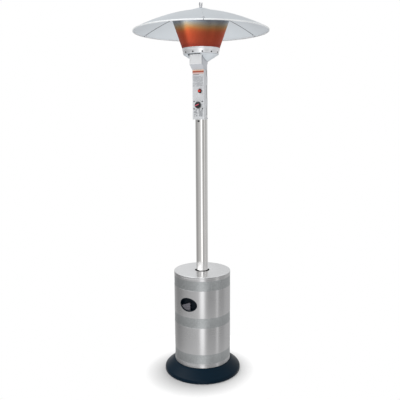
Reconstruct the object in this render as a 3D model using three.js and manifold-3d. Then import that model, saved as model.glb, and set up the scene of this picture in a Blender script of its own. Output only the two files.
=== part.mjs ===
// A free-standing gas patio heater: weighted base, sliding cylinder housing, post, burner head
// and a three-panel reflector. Millimetres, +Z up, origin on the floor under the post, front is -Y.
// An azimuth is measured in degrees from the front, turning towards +X.

import * as THREE from 'three';
import { mergeVertices } from 'three/addons/utils/BufferGeometryUtils.js';
import Module from 'manifold-3d';

const wasm = await Module();
wasm.setup();

// ---- Driving dimensions ----

const gap = 0.3;                    // clearance between pieces that touch
const sheet = 1.2;                  // thickness of the sheet metal
const plate = 2;                    // thickness of the base's plate
const reach = 200;                  // how far a cutting tool runs past the piece it cuts

const baseRadius = 251;
const baseRimBottom = 3;
const baseRimTop = 24;
const deckHeight = 76.7;            // top face of the base, where the gas cylinder stands
const deckRadius = 188;
const deckHoleRadius = 30;
const panBottom = 5.7;
const footRadius = 16;
const footEdge = 2;
const footCount = 4;
const footCircle = 215;
const weightInner = 70;
const weightOuter = 215;
const weightTop = 32;

const postRadius = 38.1;
const postWall = 2;
const flangeBottom = 640.3;
const flangeThickness = 6;
const flangeRadius = 70;
const flangeHole = 15;
const socketHeight = 26;
const socketWall = 3;
const funnelBottom = 2014;
const windowBottom = 1690;          // the post is cut open at the front between these heights
const windowTop = 2000;
const windowBack = 5;
const postBoltRadius = 3;
const postBoltHeadRadius = 6;
const postBoltHeight = 1652;

const legRadius = 8;
const legCircle = 171;
const legBendStart = 560;
const legTopInner = 44;
const legAzimuths = [88, 208, 328];
const legBoltRadius = 4;
const legBoltDepth = 30;            // how far a leg bolt reaches up into its leg
const legBoltHead = 6;

const tankRadius = 159;
const tankWall = 3;
const tankDome = 80;                // height of each domed end
const tankSideBottom = 180;
const tankSideTop = 400;
const tankNeckRadius = 17;
const tankNeckTop = 490;
const tankNeckBore = 12;
const footRingRadius = 107;
const guardRadius = 102;
const guardTop = 550;
const valveAxisHeight = 510;        // height of the cylinder valve's side outlet
const valveBodyRadius = 14;
const valveBodyTop = 528;
const valveOutletRadius = 10;
const valveOutletEnd = 38;
const valveStemRadius = 4;
const handwheelRadius = 28;
const handwheelBottom = 536;
const handwheelThickness = 12;
const regulatorDistance = 86;
const regulatorRadius = 28;
const regulatorHalfHeight = 13;
const regulatorCapRadius = 20;
const regulatorCapDepth = 7;
const regulatorOutlet = 24;         // height of its hose barb above the side outlet's axis
const hoseRadius = 5;

const housingRadius = 184.5;
const housingBottom = 77;
const housingTop = 682.6;
const lidFlatRadius = 181.4;
const lidHoleRadius = 47.5;
const lidSkirtBottom = 662;
const handleAzimuth = -4;
const handleHeight = 497;
const handleHalfWidth = 62;
const handleHalfHeight = 45;
const handleFlange = 2.7;           // how far the handle's rim stands proud of the housing
const handleInner = 165.5;          // radius of the back of the handle's cup
const handleLip = 6.3;              // width of the rim round the hole in the housing
const pocketWall = 3;
const pocketFloor = 2;

const coverHalfWidth = 40;
const coverFront = 43;
const coverBack = 8;
const coverBottom = 1662;
const coverTop = 1966;
const notchDepth = 12;              // the flanges are cut back between their tabs
const notches = [[1675, 1743], [1794, 1874], [1926, 2000]];
const headHalfWidth = 42;
const headFront = 77;
const headFaceBottom = 1996;        // the face leans back to the lower cover below this height
const headTop = 2056;
const knobHeight = 1751;
const knobRadius = 21;
const knobStandOff = 5;
const knobSkirt = 8;
const knobDepth = 16;
const spindleRadius = 4;
const igniterHeight = 1837;
const igniterX = 12;                 // the igniter sits a little to the right of the knob
const bezelRadius = 13;
const bezelDepth = 4;
const igniterRadius = 11;
const igniterBack = 15;
const buttonRadius = 8;
const buttonStandOff = 13;
const screwHalfWidth = 28.4;
const screwHalfHeight = 22.2;
const screwRadius = 2;
const screwHeadRadius = 4;
const screwHeadDepth = 3;
const sideScrewRise = 7;            // height of the side screw above the cover's bottom edge
const bracketHalfWidth = 34;
const bracketHalfHeight = 28;
const valveHalfWidth = 16;
const valveHalfHeight = 24;
const valveInletDrop = 44;          // the gas valve's inlet lies this far below the knob's axis
const valveBoreBack = 18;
const tiltSwitchBottom = 1788;
const tiltSwitchSize = [20, 16, 26];
const tiltSwitchFront = 14;

const cupFloor = 2060;
const cupStep = 2086;
const cupTop = 2096;
const cupLowRadius = 110;
const cupTopRadius = 116.5;
const airHoleCount = 12;
const airHoleHeight = 2068;
const airHoleRadius = 4.5;
const emitterTop = 2262;
const emitterTopRadius = 175;
const emitterPlate = 4;
const burnerRadius = 55;
const burnerMouthRadius = 14;
const pilotDistance = 74;
const probeDistance = 88;

const reflectorRadius = 420;
const reflectorRim = 2194;
const reflectorLip = 7;
const reflectorApex = 2322;
const reflectorPower = 1.7;         // the dome falls away from its apex as radius to this power
const reflectorHole = 30;
const panelAzimuths = [88, 208, 328];
const panelGap = 0.4;
const skinDrop = 1.5;               // vertical thickness of the reflector's sheet
const seamBoltRadius = 3;
const seamBoltCircle = 404;
const seamBoltDepth = 14;
const capRadius = 81;
const capTop = 2340;
const spacerCircle = 60;
const spacerRadius = 6;
const facetSag = 2;                 // the faceted dome lies this far below its true curve at a spacer
const studRadius = 4;
const wingNutTop = 2372;
const wingNutHub = 11;
const wingNutRadius = 8;
const wingThickness = 4;
const wingNutTurn = 70;             // the wings stop at this angle when the nut is tight

const roundSteps = 40;
const midSteps = 24;
const smallSteps = 12;
const domeSteps = 5;
const legSteps = 12;
const hoseSteps = 40;
const ovalSteps = 24;
const bendSides = 8;                // sides of a leg and of the hose
const hexSides = 6;

// ---- Finishes ----

const finishes = {
  brushedSteel: { color: 0xa8abad, roughness: 0.35, metalness: 0.9 },
  polishedSteel: { color: 0xc9cccf, roughness: 0.12, metalness: 1.0 },
  paleAluminium: { color: 0xcdd1d4, roughness: 0.45, metalness: 0.8 },
  heatSteel: { color: 0xb8462d, roughness: 0.55, metalness: 0.7 },
  darkPaint: { color: 0x1d2a36, roughness: 0.45, metalness: 0.3 },
  greyPaint: { color: 0x8d9296, roughness: 0.5, metalness: 0.2 },
  castIron: { color: 0x4a4a4c, roughness: 0.8, metalness: 0.5 },
  brass: { color: 0xb8923f, roughness: 0.35, metalness: 0.95 },
  zincSteel: { color: 0xb4b8bb, roughness: 0.4, metalness: 0.9 },
  blackPlastic: { color: 0x17181a, roughness: 0.45, metalness: 0 },
  redPlastic: { color: 0xb02a22, roughness: 0.35, metalness: 0 },
  rubber: { color: 0x1b1b1c, roughness: 0.85, metalness: 0 },
};

// ---- Geometry helpers ----

const heater = new THREE.Group();

function signedVolume(vertices, triangles) {
  const a = new THREE.Vector3();
  const b = new THREE.Vector3();
  const c = new THREE.Vector3();
  let volume = 0;
  for (let i = 0; i < triangles.length; i += 3) {
    a.fromArray(vertices, triangles[i] * 3);
    b.fromArray(vertices, triangles[i + 1] * 3);
    c.fromArray(vertices, triangles[i + 2] * 3);
    volume += a.dot(b.cross(c)) / 6;
  }
  return volume;
}

// Turns a closed three.js geometry into a solid whose faces point out.
function solid(geometry) {
  const bare = geometry.clone();
  bare.deleteAttribute('normal');
  bare.deleteAttribute('uv');
  const weldDistance = 1e-4;
  const welded = mergeVertices(bare, weldDistance);
  const vertProperties = new Float32Array(welded.attributes.position.array);
  const triangles = [];
  for (let i = 0; i < welded.index.count; i += 3) {
    const [a, b, c] = [0, 1, 2].map((corner) => welded.index.getX(i + corner));
    if (a !== b && b !== c && c !== a) triangles.push(a, b, c);
  }
  if (signedVolume(vertProperties, triangles) < 0) triangles.reverse();
  const triVerts = new Uint32Array(triangles);
  return new wasm.Manifold(new wasm.Mesh({ numProp: 3, vertProperties, triVerts }));
}

function piece(name, body, finish, parent = heater) {
  const { vertProperties, triVerts } = body.getMesh();
  const geometry = new THREE.BufferGeometry();
  geometry.setAttribute('position', new THREE.BufferAttribute(new Float32Array(vertProperties), 3));
  geometry.setIndex(new THREE.BufferAttribute(new Uint32Array(triVerts), 1));
  geometry.computeVertexNormals();
  const mesh = new THREE.Mesh(geometry, new THREE.MeshStandardMaterial(finishes[finish]));
  mesh.name = name;
  parent.add(mesh);
  return mesh;
}

// A group turned so that its own -Y side faces an azimuth.
function facing(azimuth, parent = heater) {
  const group = new THREE.Group();
  group.rotation.z = THREE.MathUtils.degToRad(azimuth);
  parent.add(group);
  return group;
}

// Revolves [radius, height] corners round the vertical axis.
function turned(corners, steps = roundSteps) {
  const closed = corners[0][0] === 0 ? corners : [...corners, corners[0]];
  const profile = closed.map(([radius, height]) => new THREE.Vector2(radius, height));
  return solid(new THREE.LatheGeometry(profile, steps).rotateX(Math.PI / 2));
}

function ring(inner, outer, bottom, top, steps = roundSteps) {
  return turned([[inner, bottom], [outer, bottom], [outer, top], [inner, top]], steps);
}

function disc(radius, bottom, top, steps = smallSteps) {
  return turned([[0, bottom], [radius, bottom], [radius, top], [0, top]], steps);
}

function rod(radius, from, to, steps = smallSteps) {
  const length = from.distanceTo(to);
  const direction = to.clone().sub(from).normalize();
  const geometry = new THREE.CylinderGeometry(radius, radius, length, steps);
  geometry.applyQuaternion(new THREE.Quaternion().setFromUnitVectors(new THREE.Vector3(0, 1, 0), direction));
  const middle = from.clone().add(to).multiplyScalar(0.5);
  return solid(geometry.translate(middle.x, middle.y, middle.z));
}

// An upright rod on a circle round the post, at an azimuth.
function verticalRod(radius, distance, azimuth, bottom, top, steps = smallSteps) {
  const angle = THREE.MathUtils.degToRad(azimuth);
  const x = distance * Math.sin(angle);
  const y = -distance * Math.cos(angle);
  return rod(radius, new THREE.Vector3(x, y, bottom), new THREE.Vector3(x, y, top), steps);
}

function frontVertical(radius, distance, bottom, top, steps = smallSteps) {
  return verticalRod(radius, distance, 0, bottom, top, steps);
}

// A rod along Y between two distances in front of the post's axis.
function frontRod(radius, near, far, x, z, steps = smallSteps) {
  return rod(radius, new THREE.Vector3(x, -near, z), new THREE.Vector3(x, -far, z), steps);
}

// A box between two opposite corners.
function block(low, high) {
  const size = high.map((value, i) => value - low[i]);
  const middle = high.map((value, i) => (value + low[i]) / 2);
  return solid(new THREE.BoxGeometry(...size).translate(...middle));
}

// Extrudes an outline of [y, z] corners along X between two values.
function sideExtrusion(corners, xLow, xHigh) {
  const shape = new THREE.Shape(corners.map(([y, z]) => new THREE.Vector2(y, z)));
  const geometry = new THREE.ExtrudeGeometry(shape, { depth: xHigh - xLow, bevelEnabled: false });
  // The outline's x becomes Y, its y becomes Z and the extrusion runs along X.
  const axes = new THREE.Matrix4().makeBasis(
    new THREE.Vector3(0, 1, 0),
    new THREE.Vector3(0, 0, 1),
    new THREE.Vector3(1, 0, 0),
  );
  return solid(geometry.applyMatrix4(axes).translate(xLow, 0, 0));
}

// A round bar along a path.
function swept(path, radius, sides, steps) {
  const section = new THREE.Shape();
  section.absarc(0, 0, radius, 0, 2 * Math.PI);
  const points = section.getSpacedPoints(sides).slice(0, sides);
  const options = { steps, extrudePath: path, bevelEnabled: false };
  return solid(new THREE.ExtrudeGeometry(new THREE.Shape(points), options));
}

// [radius, height] corners along part of an ellipse.
function ellipseArc(radius, height, centreHeight, startAngle, endAngle, steps) {
  const corners = [];
  for (let i = 0; i <= steps; i += 1) {
    const angle = startAngle + ((endAngle - startAngle) * i) / steps;
    corners.push([radius * Math.cos(angle), centreHeight + height * Math.sin(angle)]);
  }
  return corners;
}

// ---- Base ----

function buildBase() {
  const inside = baseRadius - plate;
  const deckUnderside = deckHeight - plate;
  let cover = turned([
    [baseRadius, baseRimBottom],
    [baseRadius, baseRimTop],
    [deckRadius, deckHeight],
    [deckHoleRadius, deckHeight],
    [deckHoleRadius, deckUnderside],
    [deckRadius - plate / 2, deckUnderside],
    [inside, baseRimTop - plate / 2],
    [inside, baseRimBottom],
  ]);
  for (const azimuth of legAzimuths) {
    cover = cover.subtract(verticalRod(legBoltRadius + gap, legCircle, azimuth, 0, reach));
  }
  piece('base_cover', cover, 'darkPaint');

  const weightBottom = panBottom + plate + gap;
  piece('base_pan', disc(inside - gap, panBottom, panBottom + plate, roundSteps), 'zincSteel');
  piece('base_weight', ring(weightInner, weightOuter, weightBottom, weightTop, midSteps), 'castIron');

  const footTop = panBottom - gap;
  for (let i = 0; i < footCount; i += 1) {
    const foot = turned([
      [0, 0],
      [footRadius - footEdge, 0],
      [footRadius, footEdge],
      [footRadius, footTop],
      [0, footTop],
    ], smallSteps);
    const place = facing(45 + (360 / footCount) * i);
    piece(`foot_${i + 1}`, foot, 'rubber', place).position.y = -footCircle;
  }
}

// ---- Support legs, flange and post ----

function buildLegs() {
  const standing = deckHeight + gap;
  const topHeight = flangeBottom - gap - legRadius;
  const boltSeat = deckHeight - plate - gap;
  const boltTop = standing + legBoltDepth;
  const path = new THREE.CurvePath();
  const foot = new THREE.Vector3(0, -legCircle, standing);
  const bendStart = new THREE.Vector3(0, -legCircle, legBendStart);
  const bendCorner = new THREE.Vector3(0, -legCircle, topHeight);
  const bendEnd = new THREE.Vector3(0, -legCircle / 2, topHeight);
  const inner = new THREE.Vector3(0, -legTopInner, topHeight);
  path.add(new THREE.LineCurve3(foot, bendStart));
  path.add(new THREE.QuadraticBezierCurve3(bendStart, bendCorner, bendEnd));
  path.add(new THREE.LineCurve3(bendEnd, inner));

  legAzimuths.forEach((azimuth, i) => {
    const shank = frontVertical(legBoltRadius, legCircle, boltSeat, boltTop);
    const head = frontVertical(2 * legBoltRadius, legCircle, boltSeat - legBoltHead, boltSeat, hexSides);
    const boltHole = frontVertical(legBoltRadius + gap, legCircle, 0, boltTop + gap);
    const side = facing(azimuth);
    piece(`leg_${i + 1}`, swept(path, legRadius, bendSides, legSteps).subtract(boltHole), 'darkPaint', side);
    piece(`leg_bolt_${i + 1}`, shank.add(head), 'zincSteel', side);
  });
}

function buildPost() {
  const flangeTop = flangeBottom + flangeThickness;
  const socketInner = postRadius + gap;
  const flange = turned([
    [flangeHole, flangeBottom],
    [flangeRadius, flangeBottom],
    [flangeRadius, flangeTop],
    [socketInner + socketWall, flangeTop],
    [socketInner + socketWall, flangeTop + socketHeight],
    [socketInner, flangeTop + socketHeight],
    [socketInner, flangeTop],
    [flangeHole, flangeTop],
  ], midSteps);
  piece('post_flange', flange, 'darkPaint');

  const tube = ring(postRadius - postWall, postRadius, flangeTop + gap, funnelBottom - gap, midSteps);
  const side = 2 * postRadius;
  const window = block([-side, -side, windowBottom], [side, windowBack, windowTop]);
  const boltHole = frontRod(postBoltRadius + gap, 0, side, 0, postBoltHeight);
  piece('post', tube.subtract(window).subtract(boltHole), 'polishedSteel');

  const headDepth = 7;
  const shankDepth = 14;
  const head = frontRod(postBoltHeadRadius, postRadius + gap, postRadius + headDepth, 0, postBoltHeight);
  const shank = frontRod(postBoltRadius, postRadius - shankDepth, postRadius + 1, 0, postBoltHeight);
  piece('post_bolt', head.add(shank), 'blackPlastic');
}

// ---- Gas cylinder, valve, regulator and hose ----

function buildCylinder() {
  const quarter = Math.PI / 2;
  const innerRadius = tankRadius - tankWall;
  const innerDome = tankDome - tankWall;
  const neckAngle = Math.acos(tankNeckRadius / tankRadius);
  const boreAngle = Math.acos(tankNeckBore / innerRadius);
  const lowerInside = ellipseArc(innerRadius, innerDome, tankSideBottom, -quarter, 0, domeSteps).map(onAxis);
  const shell = turned([
    ...ellipseArc(tankRadius, tankDome, tankSideBottom, -quarter, 0, domeSteps).map(onAxis),
    ...ellipseArc(tankRadius, tankDome, tankSideTop, 0, neckAngle, domeSteps),
    [tankNeckRadius, tankNeckTop],
    [tankNeckBore, tankNeckTop],
    ...ellipseArc(innerRadius, innerDome, tankSideTop, boreAngle, 0, domeSteps),
    ...[...lowerInside].reverse(),
  ], midSteps);
  const inside = turned([
    ...lowerInside,
    ...ellipseArc(innerRadius, innerDome, tankSideTop, 0, quarter, domeSteps).map(onAxis),
  ], midSteps);

  const weldDepth = 3;
  const footSeat = tankSideBottom - domeHeight(footRingRadius) + weldDepth;
  const footRing = ring(footRingRadius - tankWall, footRingRadius, deckHeight + gap, footSeat, midSteps);
  const guardSeat = tankSideTop + domeHeight(guardRadius);
  const guardRing = ring(guardRadius - tankWall, guardRadius, guardSeat - weldDepth, guardTop, midSteps);

  const mouthHalfWidth = 70;
  const mouthSill = 10;
  const mouth = block([-mouthHalfWidth, -tankRadius, guardSeat + mouthSill],
    [mouthHalfWidth, 0, guardTop + reach]);
  const holeHalfWidth = 45;
  const holeBottom = guardTop - 50;
  const holeTop = guardTop - 18;
  const handHole = block([-holeHalfWidth, 0, holeBottom], [holeHalfWidth, tankRadius, holeTop]);
  const guard = guardRing.subtract(mouth).subtract(handHole);
  piece('gas_cylinder', shell.add(footRing.add(guard).subtract(inside)), 'greyPaint');
}

// Rounding leaves a tiny radius at a dome's pole, which belongs exactly on the axis.
function onAxis([radius, height]) {
  return [Math.abs(radius) < 1e-6 ? 0 : radius, height];
}

function domeHeight(radius) {
  return tankDome * Math.sqrt(1 - (radius / tankRadius) ** 2);
}

function buildValveAndRegulator() {
  const threadDepth = 10;
  const stemTop = handwheelBottom + handwheelThickness - 2;
  const body = disc(valveBodyRadius, tankNeckTop + gap, valveBodyTop);
  const thread = disc(tankNeckBore - gap, tankNeckTop - threadDepth, tankNeckTop + 1);
  const outlet = frontRod(valveOutletRadius, 0, valveOutletEnd, 0, valveAxisHeight);
  const stem = disc(valveStemRadius, valveBodyTop - 1, stemTop);
  piece('cylinder_valve', body.add(thread).add(outlet).add(stem), 'brass');

  const lobes = 6;
  const lobeDepth = 2;
  const wheel = new THREE.Shape();
  for (let i = 0; i < lobes * 6; i += 1) {
    const angle = (2 * Math.PI * i) / (lobes * 6);
    const radius = handwheelRadius - lobeDepth + lobeDepth * Math.cos(lobes * angle);
    const corner = [radius * Math.cos(angle), radius * Math.sin(angle)];
    if (i === 0) wheel.moveTo(...corner);
    else wheel.lineTo(...corner);
  }
  const wheelGeometry = new THREE.ExtrudeGeometry(wheel, { depth: handwheelThickness, bevelEnabled: false });
  const wheelBore = disc(valveStemRadius + gap, -1, stemTop - handwheelBottom + gap);
  const handwheel = piece('valve_handwheel', solid(wheelGeometry).subtract(wheelBore), 'blackPlastic');
  handwheel.position.z = handwheelBottom;

  // The regulator is drawn round its own centre, with its inlet towards the cylinder valve.
  const inletEnd = valveOutletEnd - regulatorDistance;
  const nutRadius = 17;
  const nutDepth = 10;
  const inletRadius = 8;
  const barbRadius = 7;
  const capBottom = -regulatorHalfHeight - regulatorCapDepth;
  const drum = disc(regulatorRadius, -regulatorHalfHeight, regulatorHalfHeight, midSteps);
  const cap = disc(regulatorCapRadius, capBottom, 1 - regulatorHalfHeight, midSteps);
  const nut = frontRod(nutRadius, inletEnd + gap, inletEnd + nutDepth, 0, 0);
  const inlet = frontRod(inletRadius, inletEnd + nutDepth / 2, -regulatorCapRadius, 0, 0);
  const barb = disc(barbRadius, regulatorHalfHeight - 1, regulatorOutlet);
  const regulator = piece('regulator', drum.add(cap).add(nut).add(inlet).add(barb), 'greyPaint');
  regulator.position.set(0, -regulatorDistance, valveAxisHeight);
}

function buildHose() {
  const outlet = valveAxisHeight + regulatorOutlet;
  const along = (distance, height) => new THREE.Vector3(0, -distance, height);
  const bendStart = along(regulatorDistance, outlet + 11);
  const bendOut = along(regulatorDistance, outlet + 66);
  const bendIn = along(0, flangeBottom - 50);
  const bendEnd = along(0, flangeBottom + 5);
  const path = new THREE.CurvePath();
  path.add(new THREE.LineCurve3(along(regulatorDistance, outlet + gap), bendStart));
  path.add(new THREE.CubicBezierCurve3(bendStart, bendOut, bendIn, bendEnd));
  path.add(new THREE.LineCurve3(bendEnd, along(0, knobHeight - valveInletDrop - gap)));
  piece('gas_hose', swept(path, hoseRadius, bendSides, hoseSteps), 'rubber');
}

// ---- Sliding housing ----

// An oval prism at the height of the handles, between two distances in front of the post's axis.
function oval(halfWidth, halfHeight, near, far) {
  const shape = new THREE.Shape();
  shape.absellipse(0, 0, halfWidth, halfHeight, 0, 2 * Math.PI);
  const outline = new THREE.Shape(shape.getSpacedPoints(ovalSteps).slice(0, ovalSteps));
  const geometry = new THREE.ExtrudeGeometry(outline, { depth: far - near, bevelEnabled: false });
  return solid(geometry.rotateX(Math.PI / 2).translate(0, -near, handleHeight));
}

function buildHousing() {
  const housing = new THREE.Group();
  heater.add(housing);
  const inner = housingRadius - sheet;
  const shoulder = housingTop - (housingRadius - lidFlatRadius);
  let wall = ring(inner, housingRadius, housingBottom, shoulder - gap);

  const cupHalfWidth = handleHalfWidth - handleLip;
  const cupHalfHeight = handleHalfHeight - handleLip;
  const outerFace = housingRadius + handleFlange;
  const sleeveBottom = handleHeight - handleHalfHeight - handleLip;
  const sleeveTop = handleHeight + handleHalfHeight + handleLip;
  const sleeve = (low, high) => ring(low, high, sleeveBottom, sleeveTop);
  ['front', 'back'].forEach((side, i) => {
    const turn = [0, 0, handleAzimuth + 180 * i];
    const prism = (halfWidth, halfHeight) => oval(halfWidth, halfHeight, 0, reach).rotate(turn);
    const hole = prism(cupHalfWidth + gap, cupHalfHeight + gap);
    const hollow = prism(cupHalfWidth - pocketWall, cupHalfHeight - pocketWall);
    const rim = prism(handleHalfWidth, handleHalfHeight).intersect(sleeve(housingRadius + gap, outerFace));
    const cup = prism(cupHalfWidth, cupHalfHeight).intersect(sleeve(handleInner, outerFace));
    const pocket = hollow.intersect(sleeve(handleInner + pocketFloor, housingRadius + reach));
    wall = wall.subtract(hole);
    piece(`handle_${side}`, rim.add(cup).subtract(pocket), 'blackPlastic', housing);
  });
  piece('housing_shell', wall, 'brushedSteel', housing);

  const skirtOuter = inner - gap;
  const lid = turned([
    [lidHoleRadius, housingTop],
    [lidFlatRadius, housingTop],
    [housingRadius, shoulder],
    [skirtOuter, shoulder],
    [skirtOuter, lidSkirtBottom],
    [skirtOuter - sheet, lidSkirtBottom],
    [skirtOuter - sheet, housingTop - sheet],
    [lidHoleRadius, housingTop - sheet],
  ]);
  piece('housing_lid', lid, 'brushedSteel', housing);
}

// ---- Control covers ----

function buildCovers() {
  const inner = coverHalfWidth - sheet;
  const outside = block([-coverHalfWidth, -coverFront, coverBottom], [coverHalfWidth, coverBack, coverTop]);
  const inside = block([-inner, sheet - coverFront, coverBottom - 1], [inner, reach, coverTop + 1]);
  let channel = notched(outside.subtract(inside))
    .subtract(frontRod(2 * spindleRadius, 0, reach, 0, knobHeight))
    .subtract(frontRod(igniterRadius + gap, 0, reach, igniterX, igniterHeight));
  for (const [x, z] of screwPlaces()) {
    channel = channel.subtract(frontRod(screwRadius + gap, 0, reach, x, z));
  }
  const across = (distance) => new THREE.Vector3(distance, 0, coverBottom + sideScrewRise);
  channel = channel.subtract(rod(screwRadius + gap, across(0), across(reach)));
  piece('control_cover', channel, 'brushedSteel');

  const headEnd = coverHalfWidth + screwHeadDepth;
  const screwHead = rod(screwHeadRadius, across(coverHalfWidth + gap), across(headEnd));
  const screwShank = rod(screwRadius, across(postRadius + gap), across(coverHalfWidth + 1));
  piece('cover_side_screw', screwHead.add(screwShank), 'zincSteel');

  const bottom = coverTop + gap;
  const outline = [
    [coverBack, bottom],
    [coverBack, headTop],
    [-headFront, headTop],
    [-headFront, headFaceBottom],
    [-coverFront, bottom],
  ];
  const hollow = [
    [reach, bottom - 1],
    [reach, headTop - sheet],
    [sheet - headFront, headTop - sheet],
    [sheet - headFront, headFaceBottom + sheet / 2],
    [sheet - coverFront, bottom + sheet],
    [sheet - coverFront, bottom - 1],
  ];
  const innerHead = headHalfWidth - sheet;
  const head = sideExtrusion(outline, -headHalfWidth, headHalfWidth)
    .subtract(sideExtrusion(hollow, -innerHead, innerHead))
    .subtract(disc(postRadius + 2, funnelBottom - gap, headTop + reach, midSteps));
  piece('head_cover', notched(head), 'paleAluminium');
}

// Cuts a cover's side flanges back between the tabs that reach the post.
function notched(cover) {
  let cut = cover;
  for (const [low, high] of notches) {
    cut = cut.subtract(block([-reach, coverBack - notchDepth, low], [reach, coverBack + 1, high]));
  }
  return cut;
}

function screwPlaces() {
  const places = [];
  for (const x of [-screwHalfWidth, screwHalfWidth]) {
    for (const dz of [screwHalfHeight, -screwHalfHeight]) places.push([x, knobHeight + dz]);
  }
  return places;
}

// ---- Knob, gas valve, igniter and tilt switch ----

function buildControls() {
  const bracketFront = coverFront - sheet - gap;
  const bracketBack = bracketFront - plate;
  const shankEnd = bracketBack - 4;
  let bracket = block([-bracketHalfWidth, -bracketFront, knobHeight - bracketHalfHeight],
    [bracketHalfWidth, -bracketBack, knobHeight + bracketHalfHeight]);
  bracket = bracket.subtract(frontRod(2 * spindleRadius, 0, reach, 0, knobHeight));
  screwPlaces().forEach(([x, z], i) => {
    const head = frontRod(screwHeadRadius, coverFront + gap, coverFront + screwHeadDepth, x, z);
    const shank = frontRod(screwRadius, shankEnd, coverFront + 1, x, z);
    bracket = bracket.subtract(frontRod(screwRadius + gap, 0, reach, x, z));
    piece(`valve_screw_${i + 1}`, head.add(shank), 'zincSteel');
  });
  piece('valve_bracket', bracket, 'zincSteel');

  const inletRadius = 8;
  const valveBack = 10;
  const valveBody = block([-valveHalfWidth, gap - bracketBack, knobHeight - valveHalfHeight],
    [valveHalfWidth, valveBack, knobHeight + valveHalfHeight])
    .add(disc(inletRadius, knobHeight - valveInletDrop, knobHeight - valveHalfHeight + 1))
    .subtract(frontRod(spindleRadius + gap, valveBoreBack, reach, 0, knobHeight));
  piece('gas_valve', valveBody, 'paleAluminium');

  // The spindle and the igniter button stop this far short of the bottom of their bores,
  // so that they can be pressed.
  const spindleTravel = 6;
  const buttonTravel = 6;
  const knobBack = coverFront + knobStandOff;
  const spindleFront = knobBack + 10;
  const spindle = frontRod(spindleRadius, valveBoreBack + spindleTravel, spindleFront, 0, knobHeight);
  piece('valve_spindle', spindle, 'brass');

  const gripRadius = knobRadius - 4;
  const skirt = frontRod(knobRadius, knobBack, knobBack + knobSkirt, 0, knobHeight, midSteps);
  const grip = frontRod(gripRadius, knobBack + knobSkirt - 1, knobBack + knobDepth, 0, knobHeight, midSteps);
  const bore = frontRod(spindleRadius + gap, 0, spindleFront + gap, 0, knobHeight);
  piece('control_knob', skirt.add(grip).subtract(bore), 'blackPlastic');

  const bezelFront = coverFront + bezelDepth;
  const boreBack = igniterBack + 9;
  const bezelSteps = 20;
  const igniter = frontRod(bezelRadius, coverFront + gap, bezelFront, igniterX, igniterHeight, bezelSteps)
    .add(frontRod(igniterRadius, igniterBack, coverFront + 1, igniterX, igniterHeight))
    .subtract(frontRod(buttonRadius + gap, boreBack, reach, igniterX, igniterHeight));
  const buttonFront = bezelFront + buttonStandOff;
  const button = frontRod(buttonRadius, boreBack + buttonTravel, buttonFront, igniterX, igniterHeight);
  piece('igniter_body', igniter, 'blackPlastic');
  piece('igniter_button', button, 'redPlastic');

  const [width, depth, height] = tiltSwitchSize;
  const tiltSwitch = block([-width / 2, tiltSwitchFront, tiltSwitchBottom],
    [width / 2, tiltSwitchFront + depth, tiltSwitchBottom + height]);
  piece('tilt_switch', tiltSwitch, 'blackPlastic');
}

// ---- Burner head ----

function buildBurner() {
  const pipeBottom = knobHeight + valveHalfHeight + gap;
  const jetTop = cupFloor - 2;
  const jetHeight = 12;
  const pipeRadius = 4;
  const pipe = disc(pipeRadius, pipeBottom, jetTop - jetHeight + 2);
  const jet = disc(2 * pipeRadius, jetTop - jetHeight, jetTop, hexSides);
  piece('burner_pipe', pipe.add(jet), 'brass');

  // A mixing tube opens into a shallow drum, whose sheet is 2 mm thick throughout.
  const wall = 2;
  const mouthBottom = cupFloor + sheet + 2;
  const drumTop = cupTop + 28;
  const drumShoulder = drumTop - 8;
  const drumWaist = cupTop + 4;
  const burner = turned([
    [0, drumTop],
    [burnerRadius, drumShoulder],
    [burnerRadius, drumWaist],
    [burnerRadius - 5, drumWaist - 6],
    [burnerMouthRadius, drumWaist - 14],
    [burnerMouthRadius, mouthBottom],
    [burnerMouthRadius - wall, mouthBottom],
    [burnerMouthRadius - wall, drumWaist - 12],
    [burnerRadius - 6, drumWaist - 4],
    [burnerRadius - wall, drumWaist + 1],
    [burnerRadius - wall, drumShoulder - wall],
    [0, drumTop - wall],
  ], midSteps);
  piece('burner', burner, 'zincSteel');

  const cupHole = 20;
  const floorRadius = cupLowRadius;
  const stepRadius = cupTopRadius - 1;
  let cup = turned([
    [cupHole, cupFloor],
    [floorRadius, cupFloor],
    [stepRadius, cupStep],
    [cupTopRadius, cupStep + 1],
    [cupTopRadius, cupTop],
    [cupTopRadius - sheet, cupTop],
    [cupTopRadius - sheet, cupStep + 2],
    [stepRadius - sheet, cupStep + 1],
    [floorRadius - sheet, cupFloor + sheet],
    [cupHole, cupFloor + sheet],
  ]);
  const drillSides = 8;
  for (let i = 0; i < airHoleCount; i += 1) {
    const drill = frontRod(airHoleRadius, cupHole, reach, 0, airHoleHeight, drillSides);
    cup = cup.subtract(drill.rotate([0, 0, (360 / airHoleCount) * i]));
  }
  piece('burner_cup', cup, 'paleAluminium');

  const seat = cupFloor + sheet + gap;
  const pilot = disc(5, seat, cupTop + 20).translate([pilotDistance, 0, 0]);
  const probe = disc(3, seat, cupTop + 30).translate([probeDistance, 0, 0]);
  piece('pilot_burner', pilot, 'zincSteel');
  piece('thermocouple', probe, 'brass');
}

function buildFunnel() {
  const inner = postRadius + 2 * gap;
  const outer = cupLowRadius - 1;
  const top = cupFloor - gap;
  const rise = 1.6;                   // thickness of the sloping sheet, measured straight up
  const shell = turned([
    [inner, funnelBottom],
    [outer, top - rise],
    [outer, top],
    [inner, funnelBottom + rise],
  ]);
  const clear = 2 * gap;
  const notch = block([-headHalfWidth - clear, -reach, funnelBottom - reach],
    [headHalfWidth + clear, coverBack + clear, headTop + clear]);
  piece('funnel', shell.subtract(notch), 'paleAluminium');
}

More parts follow.
